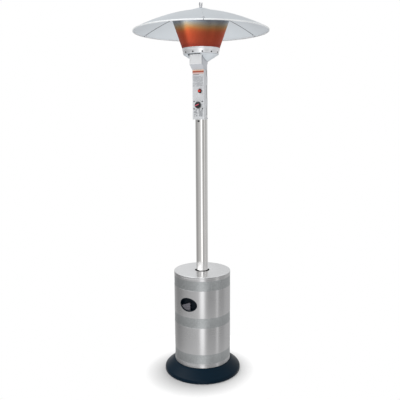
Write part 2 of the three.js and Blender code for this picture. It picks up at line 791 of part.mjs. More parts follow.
function buildEmitter() {
  const bottom = cupTop + gap;
  const screen = turned([
    [cupTopRadius, bottom],
    [emitterTopRadius, emitterTop],
    [emitterTopRadius - sheet, emitterTop],
    [cupTopRadius - sheet, bottom],
  ]);
  piece('emitter_screen', screen, 'heatSteel');

  const plateBottom = emitterTop + gap;
  const plateTop = plateBottom + emitterPlate;
  const studTop = wingNutTop - 20;
  const top = turned([
    [0, plateBottom],
    [emitterTopRadius, plateBottom],
    [emitterTopRadius, plateTop],
    [studRadius, plateTop],
    [studRadius, studTop],
    [0, studTop],
  ]);
  piece('emitter_top', top, 'zincSteel');
}

// ---- Reflector ----

// Height of the reflector's outer face at a radius.
function domeAt(radius) {
  const rise = reflectorApex - reflectorRim - reflectorLip;
  return reflectorApex - rise * (radius / reflectorRadius) ** reflectorPower;
}

function buildReflector() {
  const samples = 6;
  const outerSkin = [];
  for (let i = 0; i <= samples; i += 1) {
    const radius = reflectorHole + ((reflectorRadius - reflectorHole) * i) / samples;
    outerSkin.push([radius, domeAt(radius)]);
  }
  const innerRim = reflectorRadius - sheet;
  const underside = ([radius, height]) => [Math.min(radius, innerRim), height - skinDrop];
  const dome = turned([
    ...outerSkin,
    [reflectorRadius, reflectorRim],
    [innerRim, reflectorRim],
    ...outerSkin.map(underside).reverse(),
  ]);

  const sector = panelSector();
  const panelSpan = 360 / panelAzimuths.length;
  const seamTurns = [panelSpan / 2, -panelSpan / 2];
  panelAzimuths.forEach((azimuth, i) => {
    let panel = dome.rotate([0, 0, -azimuth]).intersect(sector);
    for (const turn of seamTurns) {
      panel = panel.subtract(seamBoltHole().rotate([0, 0, turn]));
    }
    piece(`reflector_panel_${i + 1}`, panel, 'paleAluminium', facing(azimuth));
    piece(`seam_bolt_${i + 1}`, seamBolt(), 'zincSteel', facing(azimuth + panelSpan / 2));
  });

  const capSeat = domeAt(capRadius) + 2 * gap;
  const cap = turned([
    [studRadius + gap, capTop],
    [capRadius, capSeat + 2 * sheet],
    [capRadius, capSeat],
    [capRadius - sheet, capSeat],
    [capRadius - sheet, capSeat + sheet],
    [studRadius + gap, capTop - sheet],
  ], midSteps);
  piece('reflector_cap', cap, 'paleAluminium');

  const spacerBottom = emitterTop + emitterPlate + 2 * gap;
  const spacerTop = domeAt(spacerCircle + spacerRadius) - skinDrop - facetSag;
  panelAzimuths.forEach((azimuth, i) => {
    const spacer = frontVertical(spacerRadius, spacerCircle, spacerBottom, spacerTop);
    piece(`spacer_${i + 1}`, spacer, 'zincSteel', facing(azimuth));
  });
}

// The third of all space that one reflector panel may fill, with half a panel gap kept off its sides.
function panelSector() {
  const far = 1.3 * reflectorRadius;
  const half = Math.PI / panelAzimuths.length;
  const wedge = new THREE.Shape([
    new THREE.Vector2(0, 0),
    new THREE.Vector2(-far * Math.sin(half), -far * Math.cos(half)),
    new THREE.Vector2(-far * Math.sin(half), -far),
    new THREE.Vector2(far * Math.sin(half), -far),
    new THREE.Vector2(far * Math.sin(half), -far * Math.cos(half)),
  ]);
  const geometry = new THREE.ExtrudeGeometry(wedge, { depth: 2 * reach, bevelEnabled: false });
  return solid(geometry.translate(0, -panelGap / 2 / Math.sin(half), reflectorRim - reach));
}

function seamBoltHole() {
  return frontVertical(seamBoltRadius + gap, seamBoltCircle, reflectorRim - reach, reflectorApex + reach);
}

function seamBolt() {
  const headHeight = 4;
  const surface = domeAt(seamBoltCircle - 2 * seamBoltRadius) + gap;
  const head = frontVertical(2 * seamBoltRadius, seamBoltCircle, surface, surface + headHeight, hexSides);
  const shank = frontVertical(seamBoltRadius, seamBoltCircle, surface - seamBoltDepth, surface + 1);
  return head.add(shank);
}

function buildWingNut() {
  const bottom = capTop + gap;
  const hub = disc(wingNutRadius, bottom, bottom + wingNutHub);
  const wing = new THREE.Shape();
  wing.moveTo(2, bottom + 1);
  wing.quadraticCurveTo(14, bottom + 6, 12.5, wingNutTop - 6);
  wing.quadraticCurveTo(12, wingNutTop, 9, wingNutTop);
  wing.quadraticCurveTo(4, wingNutTop - 6, 5, bottom + 9);
  const outline = new THREE.Shape(wing.getPoints(5));
  const geometry = new THREE.ExtrudeGeometry(outline, { depth: wingThickness, bevelEnabled: false });
  const right = solid(geometry.rotateX(Math.PI / 2).translate(0, wingThickness / 2, 0));
  const left = right.rotate([0, 0, 180]);
  const bore = disc(studRadius + gap, bottom - 1, wingNutTop + 1);
  const nut = hub.add(right).add(left).subtract(bore);
  piece('wing_nut', nut.rotate([0, 0, wingNutTurn]), 'zincSteel');
}

buildBase();
buildLegs();
buildPost();
buildCylinder();
buildValveAndRegulator();
buildHose();
buildHousing();
buildCovers();
buildControls();
buildBurner();
buildFunnel();
buildEmitter();
buildReflector();
buildWingNut();

export default heater;
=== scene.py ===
# The looks of a free-standing gas patio heater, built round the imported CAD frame.
# Lengths are in millimetres until a mesh is made; +Z is up, -Y is the front, and an azimuth is
# measured in degrees from the front, turning towards +X.

import math

import bmesh
import bpy
from mathutils import Matrix, Vector


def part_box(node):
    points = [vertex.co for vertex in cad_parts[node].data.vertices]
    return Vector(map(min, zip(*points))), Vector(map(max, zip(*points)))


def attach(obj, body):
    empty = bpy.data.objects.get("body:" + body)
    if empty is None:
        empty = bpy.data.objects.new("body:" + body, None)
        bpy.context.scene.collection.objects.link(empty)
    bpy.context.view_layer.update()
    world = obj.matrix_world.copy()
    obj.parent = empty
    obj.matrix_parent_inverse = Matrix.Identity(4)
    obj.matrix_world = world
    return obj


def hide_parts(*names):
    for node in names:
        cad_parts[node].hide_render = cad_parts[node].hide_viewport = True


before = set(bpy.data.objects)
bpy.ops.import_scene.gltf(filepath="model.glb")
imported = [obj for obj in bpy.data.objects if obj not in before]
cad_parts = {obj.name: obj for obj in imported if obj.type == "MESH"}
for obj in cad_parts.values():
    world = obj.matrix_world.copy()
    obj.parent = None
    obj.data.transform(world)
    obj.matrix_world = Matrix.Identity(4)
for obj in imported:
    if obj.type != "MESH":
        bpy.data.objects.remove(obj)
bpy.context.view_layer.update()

MM = 0.001
THIRDS = (88, 208, 328)   # azimuths of the legs and of the middles of the reflector panels
LEG_CIRCLE = 171          # radius of the circle that the legs stand on


# ---- Camera ----

CAMERA_AZIMUTH = 26.0
CAMERA_DISTANCE = 3.369
CAMERA_HEIGHT = 1.671
CAMERA_PITCH = -8.84
CAMERA_PAN = 0.20
CAMERA_ROLL = -0.35
CAMERA_LENS = 47.41


def add_camera():
    turn = math.radians(CAMERA_AZIMUTH)
    data = bpy.data.cameras.new("camera")
    data.lens = CAMERA_LENS
    data.sensor_width = 36
    data.dof.use_dof = False
    camera = bpy.data.objects.new("camera", data)
    spin = Matrix.Rotation(turn + math.radians(CAMERA_PAN), 4, "Z")
    tilt = Matrix.Rotation(math.radians(90 + CAMERA_PITCH), 4, "X")
    roll = Matrix.Rotation(math.radians(CAMERA_ROLL), 4, "Z")
    place = Vector((CAMERA_DISTANCE * math.sin(turn), -CAMERA_DISTANCE * math.cos(turn), CAMERA_HEIGHT))
    camera.matrix_world = Matrix.Translation(place) @ spin @ tilt @ roll
    bpy.context.scene.collection.objects.link(camera)
    bpy.context.scene.camera = camera


add_camera()


# ---- Node helpers ----

class Tree:
    """A short way to write node trees."""

    def __init__(self, owner):
        owner.use_nodes = True
        self.tree = owner.node_tree

    def add(self, kind, **settings):
        node = self.tree.nodes.new(kind)
        for key, value in settings.items():
            setattr(node, key, value)
        return node

    def link(self, source, target):
        self.tree.links.new(source, target)

    def plug(self, socket, value):
        if isinstance(value, bpy.types.NodeSocket):
            self.link(value, socket)
        else:
            socket.default_value = value

    def math(self, operation, *values):
        node = self.add("ShaderNodeMath", operation=operation)
        for socket, value in zip(node.inputs, values):
            self.plug(socket, value)
        return node.outputs[0]

    def times(self, first, second):
        return self.math("MULTIPLY", first, second)

    def plus(self, first, second):
        return self.math("ADD", first, second)

    def minus(self, first, second):
        return self.math("SUBTRACT", first, second)

    def axes(self, vector):
        node = self.add("ShaderNodeSeparateXYZ")
        self.link(vector, node.inputs[0])
        return node.outputs

    def azimuth(self, axes):
        return self.math("ARCTAN2", axes["X"], self.times(axes["Y"], -1.0))

    def around(self, azimuth):
        """An azimuth as a share of a full turn, for a ramp made by turn_stops."""
        return self.spread(azimuth, -math.pi, math.pi, 0.0, 1.0)

    def spread(self, value, low, high, out_low, out_high):
        node = self.add("ShaderNodeMapRange")
        for socket, number in zip(node.inputs, (value, low, high, out_low, out_high)):
            self.plug(socket, number)
        return node.outputs[0]

    def mix(self, factor, first, second):
        node = self.add("ShaderNodeMix", data_type="RGBA")
        self.plug(node.inputs["Factor"], factor)
        self.plug(node.inputs[6], first)
        self.plug(node.inputs[7], second)
        return node.outputs[2]

    def ramp(self, value, stops):
        node = self.add("ShaderNodeValToRGB")
        elements = node.color_ramp.elements
        while len(elements) < len(stops):
            elements.new(0.5)
        for element, (position, colour) in zip(elements, stops):
            element.position = position
            element.color = colour if len(colour) == 4 else (*colour, 1)
        self.plug(node.inputs[0], value)
        return node.outputs[0]

    def noise(self, vector, scale, detail=3.0, roughness=0.55):
        node = self.add("ShaderNodeTexNoise")
        self.link(vector, node.inputs["Vector"])
        node.inputs["Scale"].default_value = scale
        node.inputs["Detail"].default_value = detail
        node.inputs["Roughness"].default_value = roughness
        return node.outputs["Fac"]

    def place(self, stretch=(1, 1, 1)):
        where = self.add("ShaderNodeTexCoord").outputs["Object"]
        if stretch == (1, 1, 1):
            return where
        node = self.add("ShaderNodeMapping")
        self.link(where, node.inputs["Vector"])
        node.inputs["Scale"].default_value = stretch
        return node.outputs["Vector"]


def grey(level):
    return (level, level, level, 1)


def turn_stops(levels):
    """Ramp stops for a grey level at each azimuth in degrees."""
    return [((angle + 180) / 360, grey(level)) for angle, level in levels]


def srgb(red, green, blue):
    def linear(value):
        value /= 255
        return value / 12.92 if value < 0.04045 else ((value + 0.055) / 1.055) ** 2.4
    return (linear(red), linear(green), linear(blue))


# ---- World light ----

CEILING = 0.76
BELOW = 1.0
KEY_GLOW = 2.1
KEY_SIDE = 60            # degrees to the left of the camera

# The studio's tall soft strips: degrees to the right of the camera, and how bright it is there.
STRIPS = ((-180, 0.70), (-150, 0.56), (-122, 0.38), (-100, 0.38), (-78, 0.48), (-54, 0.57), (-40, 0.62),
    (-26, 0.68), (-14, 0.80), (-5, 1.85), (4, 1.85), (12, 0.82), (20, 0.52), (30, 0.46), (44, 0.50),
    (56, 0.52), (60, 0.98), (66, 0.98), (70, 0.50), (94, 0.50), (108, 0.66), (126, 0.66), (150, 0.62))


def build_world():
    """A pale studio with soft strips all round, a softbox to the left of the camera and a white backdrop."""
    world = bpy.data.worlds.new("studio")
    bpy.context.scene.world = world
    tree = Tree(world)
    background = tree.tree.nodes["Background"]
    axes = tree.axes(tree.add("ShaderNodeTexCoord").outputs["Generated"])
    from_camera = tree.minus(tree.azimuth(axes), math.radians(CAMERA_AZIMUTH))
    wrapped = tree.math("WRAP", from_camera, math.pi, -math.pi)
    # A ramp holds levels up to 1, so it carries half of each.
    halves = [(angle, level / 2) for angle, level in STRIPS]
    side = tree.times(tree.ramp(tree.around(wrapped), turn_stops(halves)), 2.0)
    key = math.radians(CAMERA_AZIMUTH - KEY_SIDE)
    towards = tree.plus(tree.times(axes["X"], math.sin(key)), tree.times(axes["Y"], -math.cos(key)))
    level_out = tree.math("SQRT", tree.minus(1.0, tree.math("POWER", axes["Z"], 2.0)))
    facing = tree.math("DIVIDE", towards, tree.math("MAXIMUM", level_out, 0.05))
    softbox = tree.times(tree.spread(facing, 0.55, 0.90, 0.0, KEY_GLOW),
        tree.spread(axes["Z"], 0.93, 0.80, 0.0, 1.0))
    overhead = tree.spread(axes["Z"], 0.34, 0.60, 0.0, 1.0)
    underneath = tree.spread(axes["Z"], -0.45, -0.65, 0.0, 1.0)
    lit = tree.mix(overhead, side, tree.plus(CEILING, softbox))
    lit = tree.mix(underneath, lit, grey(BELOW))
    seen = tree.add("ShaderNodeLightPath").outputs["Is Camera Ray"]
    tree.link(tree.mix(seen, lit, grey(1)), background.inputs["Color"])
    background.inputs["Strength"].default_value = 1.0


FLOOR_RADIUS = 0.56
FLOOR_SEEN = 0.64        # how much light the floor returns to the camera, and to the object
FLOOR_BOUNCE = 0.45
POOL_CENTRE = (-0.007, -0.064, 0.0)
POOL_START = 0.21        # a soft painted pool of light on the floor round the heater begins and ends here, leaving painted shadow next to the base
POOL_END = 0.42
POOL_GLOW = 0.62


def build_floor():
    mesh = bpy.data.meshes.new("floor")
    shape = bmesh.new()
    bmesh.ops.create_circle(shape, cap_ends=True, segments=96, radius=FLOOR_RADIUS)
    shape.to_mesh(mesh)
    shape.free()
    floor = bpy.data.objects.new("floor", mesh)
    floor.location.z = -0.0002
    bpy.context.scene.collection.objects.link(floor)
    paint = bpy.data.materials.new("floor")
    tree = Tree(paint)
    shader = tree.tree.nodes["Principled BSDF"]
    rays = tree.add("ShaderNodeLightPath")
    seen = rays.outputs["Is Camera Ray"]
    tree.link(tree.mix(seen, grey(FLOOR_BOUNCE), grey(FLOOR_SEEN)), shader.inputs["Base Color"])
    shader.inputs["Roughness"].default_value = 1.0
    shader.inputs["Specular IOR Level"].default_value = 0.0
    # Painted light: the floor glows away from the heater, and the unlit ring round its base is a painted
    # shadow.
    distance = tree.add("ShaderNodeVectorMath", operation="DISTANCE")
    tree.link(tree.place(), distance.inputs[0])
    distance.inputs[1].default_value = POOL_CENTRE
    pool = tree.spread(distance.outputs["Value"], POOL_START, POOL_END, 0.0, POOL_GLOW)
    shader.inputs["Emission Color"].default_value = (1, 1, 1, 1)
    tree.link(tree.times(pool, seen), shader.inputs["Emission Strength"])
    # The studio strips run on below the floor for reflections only, as in a photographer's light tent.
    clear = tree.add("ShaderNodeBsdfTransparent")
    blend = tree.add("ShaderNodeMixShader")
    tree.link(rays.outputs["Is Glossy Ray"], blend.inputs[0])
    tree.link(shader.outputs[0], blend.inputs[1])
    tree.link(clear.outputs[0], blend.inputs[2])
    tree.link(blend.outputs[0], tree.tree.nodes["Material Output"].inputs["Surface"])
    mesh.materials.append(paint)


build_world()
build_floor()
bpy.context.scene.view_settings.view_transform = "Standard"


# ---- Mesh helpers ----

def piece(name, points, faces):
    mesh = bpy.data.meshes.new(name)
    mesh.from_pydata([(x * MM, y * MM, z * MM) for x, y, z in points], [], faces)
    shape = bmesh.new()
    shape.from_mesh(mesh)
    bmesh.ops.remove_doubles(shape, verts=shape.verts, dist=1e-7)
    bmesh.ops.recalc_face_normals(shape, faces=shape.faces)
    shape.to_mesh(mesh)
    shape.free()
    obj = bpy.data.objects.new(name, mesh)
    bpy.context.scene.collection.objects.link(obj)
    return obj


def rounded(corners, steps=4, closed=True):
    """Rounds (a, b, size) corners of an outline; size is how far back the rounding starts."""
    outline = []
    count = len(corners)
    for i, (x, y, size) in enumerate(corners):
        end = not closed and i in (0, count - 1)
        if size <= 0 or end:
            outline.append((x, y))
            continue
        here = Vector((x, y))
        before = Vector(corners[i - 1][:2]) - here
        after = Vector(corners[(i + 1) % count][:2]) - here
        start = here + before.normalized() * min(size, 0.48 * before.length)
        stop = here + after.normalized() * min(size, 0.48 * after.length)
        for k in range(steps + 1):
            t = k / steps
            point = (1 - t) ** 2 * start + 2 * t * (1 - t) * here + t ** 2 * stop
            outline.append((point.x, point.y))
    return outline


def polar(radius, azimuth, height):
    """A point at an azimuth in radians from the front."""
    return (radius * math.sin(azimuth), -radius * math.cos(azimuth), height)


def revolve(name, profile, steps=128):
    """A closed solid of revolution from a closed (radius, height) outline."""
    rings = []
    points = []
    for radius, height in profile:
        spots = steps if radius > 1e-6 else 1
        rings.append([len(points) + i for i in range(spots)])
        points += [polar(radius, 2 * math.pi * i / steps, height) for i in range(spots)]
    following = rings[1:] + rings[:1]
    if profile[0][0] <= 1e-6 and profile[-1][0] <= 1e-6:
        following = rings[1:]
    faces = []
    for low, high in zip(rings, following):
        for i in range(steps):
            j = (i + 1) % steps
            corners = [low[i % len(low)], low[j % len(low)], high[j % len(high)], high[i % len(high)]]
            face = list(dict.fromkeys(corners))
            if len(face) > 2:
                faces.append(face)
    return piece(name, points, faces)


def prism(name, outline, low, high, bevel=0.0, segments=2, angle=30):
    """An (x, y) outline between two heights, with its edges rounded."""
    count = len(outline)
    points = [(x, y, low) for x, y in outline] + [(x, y, high) for x, y in outline]
    faces = [list(range(count)), list(range(2 * count - 1, count - 1, -1))]
    faces += [[i, (i + 1) % count, count + (i + 1) % count, count + i] for i in range(count)]
    obj = piece(name, points, faces)
    if bevel:
        soften(obj, bevel, segments, angle)
        bake(obj)
    return obj


def rectangle(x_low, x_high, y_low, y_high, radius=0.0, steps=4):
    corners = [(x_low, y_low, radius), (x_high, y_low, radius), (x_high, y_high, radius),
        (x_low, y_high, radius)]
    return rounded(corners, steps)


def circle(radius, steps=32):
    turns = [2 * math.pi * (i + 0.5) / steps for i in range(steps)]
    return [(radius * math.cos(turn), radius * math.sin(turn)) for turn in turns]


def ridges(start, stop, pitch, *points):
    """A repeating outline, such as a thread: its (radius, rise) points come again at every pitch."""
    outline = []
    height = start
    while height < stop:
        outline += [(radius, height + rise) for radius, rise in points]
        height += pitch
    return outline


def lofted(name, rings):
    """A closed solid through rings of points, all with the same count, with its two ends capped."""
    size = len(rings[0])
    end = (len(rings) - 1) * size
    faces = [list(range(size)), [end + k for k in reversed(range(size))]]
    for base in range(0, end, size):
        for k in range(size):
            right = (k + 1) % size
            faces.append([base + k, base + right, base + size + right, base + size + k])
    return piece(name, [point for ring in rings for point in ring], faces)


def tube(name, path, radius, sides=24):
    """A round bar along a path; its radius may be a function of the point's index."""
    points = [Vector(point) for point in path]
    width = radius if callable(radius) else lambda i: radius
    tangent = (points[1] - points[0]).normalized()
    across = tangent.orthogonal().normalized()
    turns = [2 * math.pi * k / sides for k in range(sides)]
    rings = []
    for i, point in enumerate(points):
        ahead = points[min(i + 1, len(points) - 1)] - points[max(i - 1, 0)]
        turn = tangent.rotation_difference(ahead.normalized())
        tangent = ahead.normalized()
        across = (turn @ across).normalized()
        other = tangent.cross(across)
        rings.append([point + width(i) * (math.cos(a) * across + math.sin(a) * other) for a in turns])
    return lofted(name, rings)


def soften(obj, width, segments=2, angle=30):
    modifier = obj.modifiers.new("edges", "BEVEL")
    modifier.width = width * MM
    modifier.segments = segments
    modifier.limit_method = "ANGLE"
    modifier.angle_limit = math.radians(angle)
    modifier.use_clamp_overlap = True


def bake(obj):
    depsgraph = bpy.context.evaluated_depsgraph_get()
    mesh = bpy.data.meshes.new_from_object(obj.evaluated_get(depsgraph))
    old = obj.data
    obj.modifiers.clear()
    obj.data = mesh
    bpy.data.meshes.remove(old)


def remove(obj):
    mesh = obj.data
    bpy.data.objects.remove(obj)
    bpy.data.meshes.remove(mesh)


def cut(obj, *tools):
    for tool in tools:
        modifier = obj.modifiers.new("cut", "BOOLEAN")
        modifier.operation = "DIFFERENCE"
        modifier.solver = "EXACT"
        modifier.object = tool
    bake(obj)
    for tool in tools:
        remove(tool)
    return obj


def merged(name, *parts):
    """Several closed shells in one piece; a part may be (object, material index)."""
    shape = bmesh.new()
    for part in parts:
        obj, index = part if isinstance(part, tuple) else (part, 0)
        for polygon in obj.data.polygons:
            polygon.material_index = index
        shape.from_mesh(obj.data)
        remove(obj)
    mesh = bpy.data.meshes.new(name)
    shape.to_mesh(mesh)
    shape.free()
    obj = bpy.data.objects.new(name, mesh)
    bpy.context.scene.collection.objects.link(obj)
    return obj


def moved(obj, x=0.0, y=0.0, z=0.0):
    obj.data.transform(Matrix.Translation((x * MM, y * MM, z * MM)))
    return obj


def spun(obj, degrees, axis="Z"):
    obj.data.transform(Matrix.Rotation(math.radians(degrees), 4, axis))
    return obj


def to_front(obj, x=0.0, z=0.0):
    """Turns a piece made along +Z so that its height is its distance in front of the axis."""
    return moved(spun(obj, 90, "X"), x=x, z=z)


def done(obj, node, materials, body="stand", sharp=32):
    """Shades a finished piece, lets it stand for its CAD node and puts it on its body."""
    mesh = obj.data
    for look in materials if isinstance(materials, list) else [materials]:
        mesh.materials.append(look)
    mesh.shade_smooth()
    mesh.set_sharp_from_angle(angle=math.radians(sharp))
    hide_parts(node)
    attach(obj, body)
    return obj


def extent(node):
    """A CAD node's lowest and highest corners in millimetres."""
    low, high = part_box(node)
    return low / MM, high / MM


# ---- Materials ----

def material(name, colour, rough, metallic=1.0, stretch=(1, 1, 1), grain=400.0, depth=0.02, tone=0.9,
        patches=9.0, wear=None, aniso=0.0, aniso_turn=0.0, coat=0.0, specular=0.5, bump_mm=0.2):
    """Grained material: colour varies in grain and patches, roughness follows the grain, edges show wear."""
    result = bpy.data.materials.new(name)
    tree = Tree(result)
    shader = tree.tree.nodes["Principled BSDF"]
    grain_value = tree.noise(tree.place(stretch), grain, 4.0)
    patch_value = tree.noise(tree.place(), patches, 2.0)
    both = tree.plus(tree.times(grain_value, 0.6), tree.times(patch_value, 0.4))
    darker = tuple(tone * channel for channel in colour)
    lighter = tuple(min(1.0, channel * (2 - tone)) for channel in colour)
    tint = tree.ramp(both, [(0.35, darker), (0.65, lighter)])
    if wear:
        edge = tree.add("ShaderNodeNewGeometry").outputs["Pointiness"]
        worn = tree.spread(edge, 0.53, 0.60, 0.0, 0.7)
        tint = tree.mix(worn, tint, (*wear, 1))
    tree.link(tint, shader.inputs["Base Color"])
    tree.link(tree.spread(both, 0.35, 0.65, rough[0], rough[1]), shader.inputs["Roughness"])
    bump = tree.add("ShaderNodeBump")
    bump.inputs["Strength"].default_value = depth
    bump.inputs["Distance"].default_value = bump_mm * MM
    tree.link(grain_value, bump.inputs["Height"])
    tree.link(bump.outputs["Normal"], shader.inputs["Normal"])
    shader.inputs["Metallic"].default_value = metallic
    shader.inputs["Specular IOR Level"].default_value = specular
    shader.inputs["Coat Weight"].default_value = coat
    if aniso:
        shader.inputs["Anisotropic"].default_value = aniso
        shader.inputs["Anisotropic Rotation"].default_value = aniso_turn
        tangent = tree.add("ShaderNodeTangent", direction_type="RADIAL", axis="Z")
        tree.link(tangent.outputs[0], shader.inputs["Tangent"])
    return result


ROUND_GRAIN = (0.02, 0.02, 1.6)      # brushed round the axis
LONG_GRAIN = (1.5, 1.5, 0.01)        # drawn along the axis
SHEET = {"stretch": (1.5, 1.5, 0.05), "grain": 500, "depth": 0.02, "tone": 0.975}

enamel = material("dark_enamel", srgb(1, 26, 41), (0.30, 0.38), metallic=0.0, grain=260, depth=0.05,
    specular=0.11, wear=srgb(40, 58, 72), patches=6)
brushed = material("brushed_steel", (0.51, 0.51, 0.515), (0.27, 0.30), stretch=ROUND_GRAIN, grain=900,
    depth=0.007, aniso=0.85, aniso_turn=0.25, tone=0.975)
lid_steel = material("lid_steel", (0.93, 0.94, 0.955), (0.20, 0.27), grain=700, depth=0.02, tone=0.97)
polished = material("polished_steel", (0.80, 0.785, 0.77), (0.09, 0.13), stretch=LONG_GRAIN, grain=700,
    depth=0.02, tone=0.97)
aluminium = material("satin_aluminium", (0.68, 0.72, 0.755), (0.42, 0.52), grain=500, depth=0.02, tone=0.97,
    metallic=0.85)
plate_finish = material("head_plate", srgb(250, 251, 252), (0.38, 0.48), metallic=0.1, specular=0.4, **SHEET)
# A darker copy of the head plate above, for painted shade on its slope and sides.
shaded_plate = material("head_plate_painted_shade", srgb(208, 211, 216), (0.42, 0.52), metallic=0.1, specular=0.3,
    **SHEET)
collar_finish = material("spun_collar", (0.88, 0.89, 0.91), (0.28, 0.34), stretch=ROUND_GRAIN, grain=600,
    depth=0.004, tone=0.985, metallic=0.8)
# Soot, and painted shade where it darkens the burner parts and the cup's hollow.
soot_and_shade = material("sooted_steel_and_painted_shade", (0.10, 0.095, 0.09), (0.6, 0.75), metallic=0.1, grain=300, depth=0.06,
    specular=0.2, wear=(0.2, 0.19, 0.18), tone=0.75)
# A paler copy of the aluminium for the rolled lip: a painted highlight.
lip_highlight = material("rolled_edge_painted_highlight", (0.93, 0.95, 0.96), (0.25, 0.35), grain=500, depth=0.02,
    tone=0.985, metallic=0.3)
# Painted shade for the inside of the emitter screen, seen through its holes.
painted_inner_shade = material("inner_skin_painted_shade", srgb(84, 34, 26), (0.6, 0.7), metallic=0.0, specular=0.1, grain=500,
    depth=0.05)
# Painted shade for seams and folds.
seam_shade = material("seam_painted_shade", (0.10, 0.11, 0.12), (0.5, 0.6), metallic=0.2, grain=500, depth=0.05)
zinc = material("zinc_plate", (0.62, 0.63, 0.66), (0.32, 0.45), grain=900, depth=0.04, wear=(0.7, 0.7, 0.7))
screw_steel = material("screw_steel", (0.20, 0.20, 0.21), (0.38, 0.5), metallic=0.6, grain=900, depth=0.04)
iron = material("cast_iron", (0.10, 0.10, 0.105), (0.7, 0.85), metallic=0.4, grain=300, depth=0.5,
    wear=(0.2, 0.2, 0.2), bump_mm=0.6)
brass = material("brass", (0.60, 0.44, 0.18), (0.24, 0.36), grain=700, depth=0.03, wear=(0.78, 0.62, 0.32))
tank_paint = material("grey_enamel", (0.36, 0.38, 0.40), (0.35, 0.45), metallic=0.0, grain=220, depth=0.08,
    coat=0.2, wear=(0.5, 0.5, 0.5))
black = material("black_plastic", (0.013, 0.014, 0.016), (0.38, 0.5), metallic=0.0, grain=900, depth=0.12,
    wear=(0.05, 0.05, 0.055))
navy = material("handle_plastic", srgb(3, 15, 25), (0.40, 0.50), specular=0.12, metallic=0.0, grain=900,
    depth=0.08, wear=srgb(52, 70, 84))
grip = material("grip_plastic", srgb(90, 89, 96), (0.42, 0.55), metallic=0.0, grain=900, depth=0.15)
red = material("red_plastic", srgb(206, 58, 46), (0.25, 0.35), metallic=0.0, grain=700, depth=0.03)
pink = material("pointer_paint", srgb(214, 92, 112), (0.4, 0.5), metallic=0.0, grain=700, depth=0.04)
rubber = material("rubber", (0.02, 0.02, 0.021), (0.7, 0.85), metallic=0.0, grain=600, depth=0.2)


def textured_band():
    """Embossed stainless sheet: small raised pebbles over a dull ground."""
    result = bpy.data.materials.new("embossed_steel")
    tree = Tree(result)
    shader = tree.tree.nodes["Principled BSDF"]
    cells = tree.add("ShaderNodeTexVoronoi", feature="SMOOTH_F1")
    cells.inputs["Scale"].default_value = 330
    cells.inputs["Smoothness"].default_value = 0.6
    tree.link(tree.place(), cells.inputs["Vector"])
    patches = tree.noise(tree.place(), 120, 3.0)
    tint = tree.ramp(patches, [(0.35, (0.35, 0.365, 0.37)), (0.65, (0.43, 0.445, 0.45))])
    tree.link(tint, shader.inputs["Base Color"])
    tree.link(tree.spread(patches, 0.3, 0.7, 0.36, 0.46), shader.inputs["Roughness"])
    bump = tree.add("ShaderNodeBump", invert=True)
    bump.inputs["Strength"].default_value = 0.55
    bump.inputs["Distance"].default_value = 0.4 * MM
    tree.link(cells.outputs["Distance"], bump.inputs["Height"])
    tree.link(bump.outputs["Normal"], shader.inputs["Normal"])
    shader.inputs["Metallic"].default_value = 1.0
    return result


embossed = textured_band()


def within(tree, value, low, high):
    """1 where a coordinate in metres lies between two millimetre values."""
    return tree.math("COMPARE", value, (low + high) / 2 * MM, (high - low) / 2 * MM)


# Plain bands and rules on the control cover: left, right, bottom, top, whether ruled, and colour.
COVER_PRINT = (
    (-34, 34, 1864, 1926, True, srgb(172, 175, 179)),
    (-30, -6, 1682, 1728, True, srgb(120, 123, 128)),
    (3, 30, 1682, 1728, True, srgb(120, 123, 128)),
    (-34, 6, 1935, 1939, False, srgb(150, 140, 142)),
    (-39.5, 39.5, 1941, 1948, False, srgb(232, 200, 192)),
    (-39.5, 39.5, 1959, 1966, False, srgb(246, 214, 190)),
    (-39.5, 39.5, 1949, 1959, False, srgb(188, 92, 66)),
)
RULES_PER_METRE = 190.0


def printed_cover():
    """Pale sheet with plain printed bands and fine grey rules on its front face."""
    result = material("control_cover_sheet", srgb(221, 223, 226), (0.36, 0.46), metallic=0.35, **SHEET)
    tree = Tree(result)
    shader = tree.tree.nodes["Principled BSDF"]
    tint = shader.inputs["Base Color"].links[0].from_socket
    across, deep, up = tree.axes(tree.place())
    front = tree.math("LESS_THAN", deep, (extent("control_cover")[0].y + 0.5) * MM)
    lines = tree.math("GREATER_THAN", tree.math("FRACT", tree.times(up, RULES_PER_METRE)), 0.45)
    uneven = tree.math("GREATER_THAN", tree.noise(tree.place((1, 1, 2.2)), 85, 1.0), 0.42)
    ruled_front = tree.times(front, tree.times(lines, uneven))
    for left, right, bottom, top, ruled, colour in COVER_PRINT:
        area = tree.times(within(tree, across, left, right), within(tree, up, bottom, top))
        tint = tree.mix(tree.times(area, ruled_front if ruled else front), tint, (*colour, 1))
    tree.link(tint, shader.inputs["Base Color"])
    return result


cover_sheet = printed_cover()


HOT_SIDE = 26            # azimuth of the reddest side of the emitter
# Painted reflections: how bright the screen is drawn at each azimuth, more strongly towards the top; they
# also nudge its heat colours.
REFLECTION_STREAKS = ((-180, 0.45), (-120, 0.42), (-85, 0.50), (-60, 0.34), (-50, 0.28), (-38, 0.32), (-23, 0.34),
    (-16, 0.52), (-10, 0.92), (-5, 1.00), (3, 0.83), (12, 0.64), (23, 0.48), (33, 0.37), (43, 0.28),
    (55, 0.32), (65, 0.26), (80, 0.28), (103, 0.42), (140, 0.50))
HEAT_COLOURS = ((0.00, (146, 58, 42)), (0.08, (166, 68, 45)), (0.34, (178, 74, 44)), (0.46, (187, 87, 51)),
    (0.53, (190, 107, 58)), (0.59, (189, 132, 81)), (0.66, (181, 152, 114)), (0.72, (178, 170, 153)),
    (0.79, (165, 171, 176)), (0.87, (148, 160, 173)), (1.00, (134, 148, 163)))


